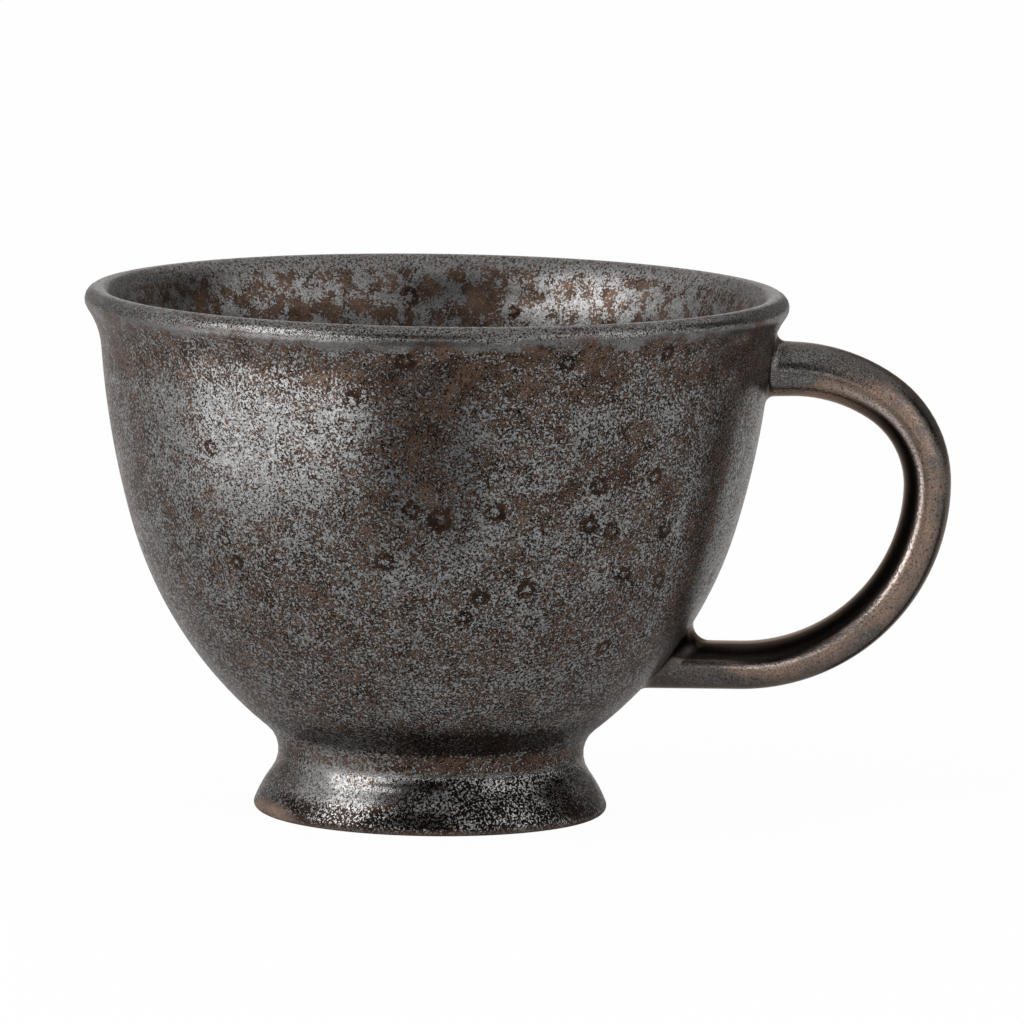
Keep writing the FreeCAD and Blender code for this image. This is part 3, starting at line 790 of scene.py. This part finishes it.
def wall_points(turns, levels, line_of_wall):
    """Points (r sin a, -r cos a, z) of a turned wall, with r read from its line at z."""
    radius = np.interp(levels, line_of_wall[:, 1], line_of_wall[:, 0])
    return np.stack((radius * np.sin(turns), -radius * np.cos(turns), levels), axis=1)


front = np.array(FRONT_RINGS)
number = np.arange(STREWN)
strewn_turns = (number * GOLDEN_TURN) % (2 * math.pi)
strewn_levels = OUTER_LOWEST + OUTER_SPAN * ((number * LEVEL_STRIDE) % 1)
strewn_sizes = SMALLEST_RING + RING_SPAN * ((number * SIZE_STRIDE) % 1)
inner_levels = INNER_LOWEST + INNER_SPAN * ((number * LEVEL_STRIDE + INNER_SHIFT) % 1)
inner_line = inside[inside[:, 1] > FLOOR_HEIGHT + 2]
behind = np.cos(strewn_turns) < NEAR_SIDE
centres = np.concatenate((wall_points(np.radians(front[:, 0]), front[:, 1], wall_line),
                          wall_points(strewn_turns[behind], strewn_levels[behind], wall_line),
                          wall_points(strewn_turns, inner_levels, inner_line)))
sizes = np.concatenate((front[:, 2], strewn_sizes[behind], strewn_sizes))
print(len(front), "rings on the near side,", behind.sum(), "on the far side,", STREWN, "inside")

# %% [markdown]
# The shader needs to know, at every point of the surface, how far the nearest centre is. That can't be
# painted into vertices, which are coarser than a ring, but the offset from the centre can: it changes
# evenly across a face, so the shader gets it exactly and takes its length. It is stored at the corners of
# each face, all measured from one and the same ring, so that it never blends from one ring to the next
# inside a face.

# %% Offsets from the nearest ring
face_count, corner_count = len(cup_mesh.polygons), len(cup_mesh.loops)
middles = np.empty(face_count * 3)
cup_mesh.polygons.foreach_get("center", middles)
middles = middles.reshape(-1, 3)
corners_of_face = np.empty(face_count, dtype=np.int32)
cup_mesh.polygons.foreach_get("loop_total", corners_of_face)
corner_point = np.empty(corner_count, dtype=np.int32)
cup_mesh.loops.foreach_get("vertex_index", corner_point)

nearest, nearest_distance = np.zeros(face_count, dtype=int), np.full(face_count, np.inf)
for index, centre in enumerate(centres * MM):
    distance = np.linalg.norm(middles - centre, axis=1)
    closer = distance < nearest_distance
    nearest[closer], nearest_distance[closer] = index, distance[closer]
ring_of_corner = np.repeat(nearest, corners_of_face)
offsets = points[corner_point] - centres[ring_of_corner] * MM
attribute = cup_mesh.attributes.new("ring_offset", "FLOAT_VECTOR", "CORNER")
attribute.data.foreach_set("vector", offsets.astype(np.float32).ravel())
attribute = cup_mesh.attributes.new("ring_size", "FLOAT", "CORNER")
attribute.data.foreach_set("value", (sizes[ring_of_corner] * MM).astype(np.float32))
print("offsets stored at", corner_count, "corners")

# %% [markdown]
# ## The glaze, effect by effect
#
# **Flakes.** Crystals are islands with sharp edges. Noise gives their outline: where it rises over a
# threshold there is a crystal. Moving the threshold makes them crowd or thin out, so one input, the
# cover, steers every patch, band and ring in the glaze. A second noise cuts thin seams through the
# islands, where one crystal ends and the next begins, and just outside an island lies a dark groove.

# %% Node group: flakes
THRESHOLD_BARE, THRESHOLD_FULL = 0.66, 0.32
SEAM_INNER, SEAM_OUTER, SEAM_DEPTH = 0.015, 0.060, 0.85


def build_flakes():
    """A flake is where noise - threshold > 0; a seam is where |second noise - 1/2| is nearly 0."""
    nodes, inp, out = node_group(
        "crystal_flakes",
        [("Vector", "Vector"), ("Cover", "Float"), ("Size", "Float")],
        [("Flake", "Float"), ("Groove", "Float"), ("Tone", "Float")])
    size = nodes.make("ShaderNodeCombineXYZ", {axis: inp["Size"] for axis in range(3)}).outputs[0]
    scaled = nodes.vector("DIVIDE", inp["Vector"], size)
    lumps = nodes.noise(scaled, 1.0, detail=1.0, roughness=0.6, distortion=0.5)
    threshold = nodes.ramp(inp["Cover"], 0.0, 1.0, THRESHOLD_BARE, THRESHOLD_FULL, smooth=False)
    over = nodes.sub(lumps, threshold)
    grains = nodes.cells(scaled, 1.3)
    grain_tone = nodes.make("ShaderNodeSeparateColor", {0: grains.outputs["Color"]}).outputs[0]
    wander = nodes.math("ABSOLUTE", nodes.sub(nodes.noise(scaled, 1.25, detail=0.0), 0.5))
    seam = nodes.ramp(wander, SEAM_INNER, SEAM_OUTER, 1.0, 0.0)
    island = nodes.ramp(over, -0.008, 0.014)
    feed(nodes.tree, out["Flake"], nodes.mul(island, nodes.sub(1.0, nodes.mul(seam, SEAM_DEPTH))))
    feed(nodes.tree, out["Groove"], nodes.ramp(over, -0.115, -0.070))
    feed(nodes.tree, out["Tone"], grain_tone)


build_flakes()

# %% [markdown]
# **Rings.** The length of the stored offset, divided by half the ring's size, is 0 in the middle of a ring
# and 1 at its edge. Noise is added so that no ring is a perfect circle. Ramps of that share give the dark
# ring, the light dot in its middle and the pale halo round it.

# %% Node group: rings
WOBBLE_SIZE, WOBBLE = 0.8 * MM, 1.2
LEAST_SIZE = 0.1 * MM


def build_rings():
    """The share is 2 |offset| / size + wobble."""
    nodes, inp, out = node_group(
        "gas_rings", [("Vector", "Vector")], [("Ring", "Float"), ("Dot", "Float"), ("Halo", "Float")])
    offset = nodes.make("ShaderNodeAttribute", attribute_name="ring_offset").outputs["Vector"]
    size = nodes.stored("ring_size")
    wobble = nodes.mul(nodes.sub(nodes.noise(inp["Vector"], WOBBLE_SIZE, detail=2.0), 0.5), WOBBLE)
    from_centre = nodes.vector("LENGTH", offset, out=1)
    distance = nodes.math("DIVIDE", from_centre, nodes.math("MAXIMUM", size, LEAST_SIZE))
    share = nodes.add(nodes.mul(distance, 2.0), wobble)
    feed(nodes.tree, out["Ring"], nodes.hump(share, (0.25, 0.45), (0.70, 1.15)))
    feed(nodes.tree, out["Dot"], nodes.ramp(share, 0.25, 0.45, 1.0, 0.0))
    feed(nodes.tree, out["Halo"], nodes.hump(share, (0.85, 1.20), (1.3, 1.9)))


build_rings()

# %% [markdown]
# **The glass between the crystals** is a bronze brown, darker where it is thick, with copper-coloured
# specks.

# %% Node group: brown glass
THICK_GLASS, THIN_GLASS = (0.042, 0.027, 0.020, 1), (0.150, 0.096, 0.070, 1)
COPPER = (0.30, 0.17, 0.10, 1)


def build_brown_glass():
    """Broad noise blends thick glass into thin, and fine noise strews the specks."""
    nodes, inp, out = node_group("brown_glass", [("Vector", "Vector")], [("Color", "Color")])
    broad = nodes.noise(inp["Vector"], 4.0 * MM, detail=5.0, roughness=0.72)
    brown = nodes.blend(nodes.ramp(broad, 0.32, 0.70), THICK_GLASS, THIN_GLASS)
    speck = nodes.ramp(nodes.noise(inp["Vector"], 0.55 * MM, detail=1.0), 0.64, 0.72)
    feed(nodes.tree, out["Color"], nodes.blend(nodes.mul(speck, 0.6), brown, COPPER))


build_brown_glass()
print("groups:", [group.name for group in bpy.data.node_groups])

# %% [markdown]
# ## Bare clay
#
# The ring that the cup stands on was wiped clean before firing, so that it didn't stick to the kiln shelf.
# It shows the body of the stoneware: a warm grey-brown, matt, with fine sand in it. A little of it also
# shows along the edge of the foot, so its colour is a group that two finishes use.

# %% Node group: clay
DARK_CLAY, PALE_CLAY = (0.085, 0.059, 0.047, 1), (0.24, 0.172, 0.135, 1)


def build_clay():
    """Fine sand and broad clouds, mixed three to two, blend dark clay into pale."""
    nodes, inp, out = node_group(
        "clay_body", [("Vector", "Vector")], [("Color", "Color"), ("Sand", "Float")])
    sand = nodes.noise(inp["Vector"], 0.4 * MM, detail=3.0, roughness=0.7)
    cloud = nodes.noise(inp["Vector"], 6 * MM, detail=2.0)
    tone = nodes.add(nodes.mul(sand, 0.6), nodes.mul(cloud, 0.4))
    feed(nodes.tree, out["Color"], nodes.blend(nodes.ramp(tone, 0.35, 0.65), DARK_CLAY, PALE_CLAY))
    feed(nodes.tree, out["Sand"], sand)


build_clay()

# %% Material: bare clay
def bare_clay():
    """Matt clay with its sand as a shallow bump."""
    material, nodes, shader = new_material("bare_clay")
    where = nodes.make("ShaderNodeTexCoord").outputs["Object"]
    body = place_group(nodes, "clay_body", {"Vector": where})
    feed(nodes.tree, shader.inputs["Base Color"], body["Color"])
    shader.inputs["Roughness"].default_value = 0.85
    bump = nodes.make("ShaderNodeBump", {"Height": body["Sand"], "Strength": 0.4, "Distance": 0.05 * MM})
    feed(nodes.tree, shader.inputs["Normal"], bump.outputs[0])
    return material


clay = bare_clay()
print("material:", clay.name)

# %% [markdown]
# ## The glaze of the bowl
#
# Crystals are metal and shine like it. The glass between them is half metal and half plain brown. That
# keeps its colour visible in the shade, and keeps it apart from the crystals on the flanks, where a full
# metal would mirror the room as brightly as they do. Rings thin the crystals out, and their dots and halos
# crowd them.

# %% Crystals over glass
RING_THINS, HALO_CROWDS, DOT_CROWDS, RING_DARKENS = 0.36, 0.10, 0.15, 0.70
DEEP_GLASS, BLACK_GLASS = (0.030, 0.021, 0.017, 1), (0.004, 0.0025, 0.002, 1)
DARK_CRYSTAL, PALE_CRYSTAL = (0.175, 0.174, 0.173, 1), (0.315, 0.316, 0.317, 1)
GREY_FILM = (0.165, 0.162, 0.160, 1)
EDGE_TINT = (0.84, 0.82, 0.81, 1)
GLASS_METAL, CRYSTAL_METAL = 0.56, 0.96
DEEPEST_GROOVE = 0.95


def where_and_level(nodes):
    """Object coordinates and the height above the table."""
    where = nodes.make("ShaderNodeTexCoord").outputs["Object"]
    return where, nodes.make("ShaderNodeSeparateXYZ", {0: where}).outputs[2]


def glaze_surface(nodes, shader, where, cover, size, roughness,
                  film=0.0, groove=DEEPEST_GROOVE, painted_dark=0.0, depth=0.0):
    """Plugs crystals over brown glass into the shader.

    Film dims the crystals to a thin grey skin, groove is the depth of the lines round them, painted dark
    turns the glass nearly black as painted shade and painted dark reflection, and depth darkens all of the
    glass.
    """
    rings = place_group(nodes, "gas_rings", {"Vector": where})
    ringed = nodes.sub(cover, nodes.mul(rings["Ring"], RING_THINS))
    haloed = nodes.add(nodes.add(ringed, nodes.mul(rings["Halo"], HALO_CROWDS)),
                       nodes.mul(rings["Dot"], DOT_CROWDS))
    flakes = place_group(nodes, "crystal_flakes", {"Vector": where, "Cover": haloed, "Size": size})
    brown = place_group(nodes, "brown_glass", {"Vector": where})["Color"]
    shaded = nodes.math("MAXIMUM", nodes.mul(flakes["Groove"], groove),
                        nodes.mul(rings["Ring"], RING_DARKENS))
    shaded = nodes.math("MAXIMUM", shaded, painted_dark)
    glass = nodes.blend(shaded, nodes.blend(depth, brown, DEEP_GLASS), BLACK_GLASS)
    grey = nodes.blend(film, nodes.blend(flakes["Tone"], DARK_CRYSTAL, PALE_CRYSTAL), GREY_FILM)
    feed(nodes.tree, shader.inputs["Base Color"], nodes.blend(flakes["Flake"], glass, grey))
    feed(nodes.tree, shader.inputs["Metallic"], nodes.between(flakes["Flake"], GLASS_METAL, CRYSTAL_METAL))
    shader.inputs["Specular IOR Level"].default_value = 0.0
    shader.inputs["Specular Tint"].default_value = EDGE_TINT
    feed(nodes.tree, shader.inputs["Roughness"], roughness)
    relief = nodes.noise(where, 0.30 * MM, detail=1.0)
    bump = nodes.make("ShaderNodeBump", {"Height": relief, "Strength": 0.5, "Distance": 0.03 * MM})
    feed(nodes.tree, shader.inputs["Normal"], bump.outputs[0])


# %% [markdown]
# A sponge wiped the foot's lower edge, and one finger reached higher. The clay is mixed in over whatever
# feeds the shader already, with an edge that noise makes uneven.

# %% The wiped edge of the foot
WIPED_PLACE = (-25.0 * MM, -11.0 * MM, 0.0)
EDGE_HEIGHT, FINGER_HEIGHT = 0.30 * MM, 2.2 * MM
DRY_ROUGHNESS = 0.75


def wiped_edge(nodes, shader, where, level):
    """Mixes bare clay in along the foot's lower edge, and higher up where a finger wiped it."""
    from_finger = nodes.vector("DISTANCE", where, WIPED_PLACE, out=1)
    ragged = nodes.noise(where, 1.6 * MM, detail=3.0, roughness=0.65)
    uneven = nodes.mul(nodes.sub(ragged, 0.5), 2.2 * MM)
    finger = nodes.ramp(nodes.add(from_finger, uneven), 4.5 * MM, 10.5 * MM, 1.0, 0.0)
    height = nodes.between(finger, EDGE_HEIGHT, FINGER_HEIGHT)
    above = nodes.sub(nodes.add(level, nodes.mul(uneven, 0.35)), height)
    bare = nodes.ramp(above, -0.8 * MM, 1.1 * MM, 1.0, 0.0)
    clay_colour = place_group(nodes, "clay_body", {"Vector": where})["Color"]
    for name, dry in (("Base Color", clay_colour), ("Metallic", 0.0), ("Roughness", DRY_ROUGHNESS)):
        glazed = shader.inputs[name].links[0].from_socket
        mix = nodes.blend if name == "Base Color" else nodes.between
        feed(nodes.tree, shader.inputs[name], mix(bare, glazed, dry))


# %% [markdown]
# The crystals' cover follows the way the glaze ran. They are fine and filmed over on the lip, break to
# brown in an uneven band just under it, crowd in a dense place high on the left and under the handle,
# and are patchy elsewhere. On each side of the handle a brown streak with fewer crystals is a painted
# reflection of the handle. A band under the bowl is painted dark as shade. The foot is painted dark in its
# middle as a dark reflection. Along its lower edge it is darker too, partly pooled glaze and partly a
# painted dark reflection. One place on the foot is silvered.

# %% Material: outside of the bowl
OPEN_COVER, PATCHY_LOW, PATCHY_HIGH = 0.42, 1.0, 1.6
DENSE_PLACE, DENSE_COVER = (-31.0 * MM, -41.0 * MM, 67.0 * MM), 0.24
SILVERED_PLACE, SILVERED_COVER = (-15.0 * MM, -21.0 * MM, 6.0 * MM), 0.32
# the second thins the crystals beside the handle as a painted reflection of it
UNDER_HANDLE, PAINTED_HANDLE_REFLECTION = 0.24, 0.12
# the second of these thins the crystals in the band of painted shade under the bowl
BAND_THINS, SHADE_BAND_THINS, WAIST_THINS, EDGE_THINS = 0.20, 0.16, 0.22, 0.10
LIP_COVER, LIP_PATCHES, LIP_FILM = 0.61, 0.9, 0.42
# how dark the glass is painted: in the middle of the foot as dark reflection, at its lower edge as partly
# pooled glaze and partly dark reflection, and under the bowl as shade
FOOT_DARK_REFLECTION, EDGE_POOL_AND_REFLECTION, SHADE_BAND_DARK = 0.94, 0.75, 0.75
COARSE_FLAKE, FINE_FLAKE = 0.40 * MM, 0.30 * MM


def handle_crowds_and_reflection(nodes, x, y, level):
    """More crystals under the handle and fewer beside it, a painted reflection, by the slope |y| / x seen
    from the axis.
    """
    aside = nodes.math("DIVIDE", nodes.math("ABSOLUTE", y), nodes.math("MAXIMUM", x, MM))
    levels = nodes.hump(level, (20 * MM, 28 * MM), (62 * MM, 69 * MM))
    levels = nodes.mul(levels, nodes.ramp(x, 5 * MM, 12 * MM))
    under = nodes.ramp(aside, 0.42, 0.54, UNDER_HANDLE, 0.0)
    # fewer crystals beside the handle: a painted reflection of the handle
    painted_reflection = nodes.mul(nodes.ramp(aside, 0.42, 0.54), nodes.ramp(aside, 0.62, 0.80, PAINTED_HANDLE_REFLECTION, 0.0))
    return nodes.mul(levels, nodes.sub(under, painted_reflection))


def outside_glaze():
    """Cover is open cover + dense places + patches - thin places, and the lip's own cover on the lip."""
    material, nodes, shader = new_material("bowl_glaze")
    where, level = where_and_level(nodes)
    x, y, _ = nodes.make("ShaderNodeSeparateXYZ", {0: where}).outputs
    patches = nodes.sub(nodes.noise(where, 5.5 * MM, detail=4.0, roughness=0.66), 0.5)
    patchiness = nodes.between(nodes.ramp(level, 25 * MM, 60 * MM), PATCHY_LOW, PATCHY_HIGH)
    on_lip = nodes.ramp(nodes.add(level, nodes.mul(patches, 5 * MM)), 78.5 * MM, 80.3 * MM)
    ragged = nodes.add(level, nodes.mul(patches, 12 * MM))
    band = nodes.hump(ragged, (69.0 * MM, 73.0 * MM), (78.0 * MM, 80.0 * MM))
    # painted shade: a dark band under the bowl, above the waist
    painted_dark = nodes.hump(level, (11.4 * MM, 12.4 * MM), (15.6 * MM, 17.6 * MM))
    at_waist = nodes.hump(level, (8.4 * MM, 10.0 * MM), (11.4 * MM, 12.4 * MM))
    at_edge = nodes.ramp(level, 3.0 * MM, 5.2 * MM, 1.0, 0.0)
    near_dense = nodes.near(where, DENSE_PLACE, 9 * MM, 28 * MM)
    silvered = nodes.mul(nodes.near(where, SILVERED_PLACE, 6 * MM, 15 * MM), nodes.sub(1.0, at_edge))

    crowded = nodes.total(OPEN_COVER, nodes.mul(near_dense, DENSE_COVER), handle_crowds_and_reflection(nodes, x, y, level),
                          nodes.mul(silvered, SILVERED_COVER), nodes.mul(patches, patchiness))
    thinned = nodes.total(nodes.mul(band, BAND_THINS), nodes.mul(painted_dark, SHADE_BAND_THINS),
                          nodes.mul(at_waist, WAIST_THINS), nodes.mul(at_edge, EDGE_THINS))
    lip_cover = nodes.add(LIP_COVER, nodes.mul(patches, LIP_PATCHES))
    cover = nodes.between(on_lip, nodes.sub(crowded, thinned), lip_cover)

    # painted dark reflection in the middle of the foot, where it mirrors the dark front; along the lower
    # edge it is partly pooled glaze and partly painted dark reflection
    dark_reflection_band = nodes.hump(x, (-19 * MM, -9 * MM), (20 * MM, 24 * MM))
    dark_reflection_band = nodes.math("MAXIMUM", dark_reflection_band, nodes.mul(at_edge, EDGE_POOL_AND_REFLECTION))
    foot_dark_reflection = nodes.mul(nodes.ramp(level, 8.4 * MM, 9.4 * MM, FOOT_DARK_REFLECTION, 0.0), dark_reflection_band)
    foot_dark_reflection = nodes.mul(foot_dark_reflection, nodes.sub(1.0, silvered))
    # the painted shade under the bowl and the painted dark reflection on the foot, as nearly black glass
    painted_dark_glass = nodes.math("MAXIMUM", nodes.mul(painted_dark, SHADE_BAND_DARK), foot_dark_reflection)
    fine = nodes.math("MAXIMUM", on_lip, nodes.ramp(level, 8.4 * MM, 9.4 * MM, 0.5, 0.0))
    size = nodes.between(fine, COARSE_FLAKE, FINE_FLAKE)
    shallow = nodes.add(nodes.mul(silvered, 0.55), nodes.mul(near_dense, 0.22))
    glaze_surface(nodes, shader, where, cover, size,
                  roughness=nodes.between(nodes.ramp(level, 9 * MM, 16 * MM), 0.21, 0.27),
                  film=nodes.mul(on_lip, LIP_FILM), groove=nodes.sub(DEEPEST_GROOVE, shallow), painted_dark=painted_dark_glass)
    wiped_edge(nodes, shader, where, level)
    return material


bowl_glaze = outside_glaze()
print("material:", bowl_glaze.name)

# %% [markdown]
# Inside, the crystals gather in blotches a few millimetres wide with clear brown glass between them. The
# grooves are faint, and a thin film lies over the grey.

# %% Material: inside of the bowl
INNER_COVER, INNER_LIP_COVER = 0.47, 0.70
BLOTCHES, BROAD_PATCHES = 3.8, 0.8


def inside_glaze():
    """Cover is the inner cover + blotches + broad patches, and even on the lip."""
    material, nodes, shader = new_material("inner_glaze")
    where, level = where_and_level(nodes)
    blotches = nodes.sub(nodes.noise(where, 2.6 * MM, detail=2.0, roughness=0.55), 0.5)
    patches = nodes.sub(nodes.noise(where, 9 * MM, detail=2.0, roughness=0.5), 0.5)
    uneven = nodes.add(nodes.mul(blotches, BLOTCHES), nodes.mul(patches, BROAD_PATCHES))
    on_lip = nodes.ramp(level, 79.2 * MM, 80.6 * MM)
    cover = nodes.between(on_lip, nodes.add(INNER_COVER, uneven), INNER_LIP_COVER)
    glaze_surface(nodes, shader, where, cover, 0.38 * MM, 0.30, film=0.38, groove=0.40, depth=0.16)
    return material


inner_glaze = inside_glaze()
print("material:", inner_glaze.name)

# %% [markdown]
# ## The glaze of the handle
#
# On the handle the same glaze lies thinner and smoother, and its crystals are finer. They gather on top of
# the upper run and near the wall, and leave the rest a warm bronze full of pinholes, darker towards the
# outer side. The painted dark reflection on the inner side of the bow and the painted highlight beside it
# come from the shares that were stored with the mesh.

# %% Material: handle
BRONZE, UMBER = (0.370, 0.260, 0.200, 1), (0.132, 0.114, 0.106, 1)
# the colour of the painted highlight beside the bow's inner side, and the near-black glass of its painted
# dark reflection
PAINTED_HIGHLIGHT, PAINTED_DARK_GLASS = (0.54, 0.46, 0.42, 1), (0.009, 0.0086, 0.0084, 1)
STRAP_CRYSTAL, STRAP_EDGE_TINT = (0.21, 0.208, 0.206, 1), (0.60, 0.54, 0.50, 1)
GLASS_TINGED = 0.70
STRAP_FLAKE, PINHOLE = 0.24 * MM, 0.32 * MM


def strap_glaze():
    """Bronze inside and umber outside, with crystals, pinholes, the painted dark reflection and its painted
    highlight over them.
    """
    material, nodes, shader = new_material("handle_glaze")
    where = nodes.make("ShaderNodeTexCoord").outputs["Object"]
    outer_share, run_down, near_wall = map(nodes.stored, ("outer_share", "run_down", "near_wall"))
    # the painted dark reflection and the painted highlight, as stored with the mesh
    painted_dark, painted_highlight = nodes.stored("pooled_side"), nodes.stored("pool_margin")
    uneven = nodes.mul(nodes.sub(nodes.noise(where, 5 * MM, detail=4.0, roughness=0.65), 0.5), 1.6)
    reach = nodes.sub(nodes.add(outer_share, uneven), nodes.mul(run_down, 0.45))
    outer = nodes.ramp(nodes.add(reach, nodes.mul(near_wall, 0.9)), -0.45, 0.40)
    gathered = nodes.between(outer, 0.14, nodes.between(run_down, 0.50, 0.28))
    cover = nodes.add(gathered, nodes.mul(uneven, 0.4))
    flakes = place_group(nodes, "crystal_flakes", {"Vector": where, "Cover": cover, "Size": STRAP_FLAKE})
    flake = nodes.mul(flakes["Flake"], nodes.sub(0.90, nodes.mul(painted_dark, 0.80)))

    glass = place_group(nodes, "brown_glass", {"Vector": where})["Color"]
    bronze, umber = (nodes.blend(GLASS_TINGED, glass, tinge) for tinge in (BRONZE, UMBER))
    ground = nodes.blend(outer, bronze, umber)
    # the painted highlight, faded out near the wall
    highlight_away_from_wall = nodes.mul(painted_highlight, nodes.sub(1.0, near_wall))
    pinhole = nodes.ramp(nodes.noise(where, PINHOLE, detail=2.0), 0.54, 0.64)
    lines = nodes.mul(flakes["Groove"], nodes.between(outer, 0.35, 0.70))
    shaded = nodes.math("MAXIMUM", lines, nodes.mul(pinhole, 0.75))
    # the painted dark reflection turns the glass nearly black
    shaded = nodes.math("MAXIMUM", shaded, nodes.mul(painted_dark, 0.96))
    grooved = nodes.blend(shaded, nodes.blend(highlight_away_from_wall, ground, PAINTED_HIGHLIGHT), PAINTED_DARK_GLASS)
    feed(nodes.tree, shader.inputs["Base Color"], nodes.blend(flake, grooved, STRAP_CRYSTAL))
    shader.inputs["Specular Tint"].default_value = STRAP_EDGE_TINT
    shader.inputs["Metallic"].default_value = 0.92
    shader.inputs["Roughness"].default_value = 0.20
    relief = nodes.noise(where, 0.28 * MM, detail=1.0)
    bump = nodes.make("ShaderNodeBump", {"Height": relief, "Strength": 1.0, "Distance": 0.04 * MM})
    feed(nodes.tree, shader.inputs["Normal"], bump.outputs[0])
    return material


handle_glaze = strap_glaze()
print("material:", handle_glaze.name)

# %% [markdown]
# ## Each face its finish
#
# The faces come in a known order: the rings of the turned form from the inside floor over the lip and down
# to the hollow under the foot, then the strap, then the fans at the poles. So each face's finish follows
# from its number.

# %% Give each face its finish
OUTSIDE, INSIDE, HANDLE, CLAY = range(4)
for material in (bowl_glaze, inner_glaze, handle_glaze, clay):
    cup_mesh.materials.append(material)
ring_finish = np.full(len(profile) - 3, OUTSIDE)
ring_finish[:len(inside) - 2] = INSIDE
ring_finish[len(inside) + len(outside) - 4:] = CLAY
finish = np.concatenate((
    np.repeat(ring_finish, AROUND), np.full(len(handle_quads), HANDLE),
    np.full(AROUND, INSIDE), np.full(AROUND, CLAY), np.full(2 * STRAP_AROUND, HANDLE)))
cup_mesh.polygons.foreach_set("material_index", finish.astype(np.int32))
cup_mesh.update()
print("faces per finish:", np.bincount(finish).tolist())

# %% [markdown]
# ## Finish
#
# The colours are shown with the Standard view transform.

bpy.context.scene.view_settings.view_transform = "Standard"
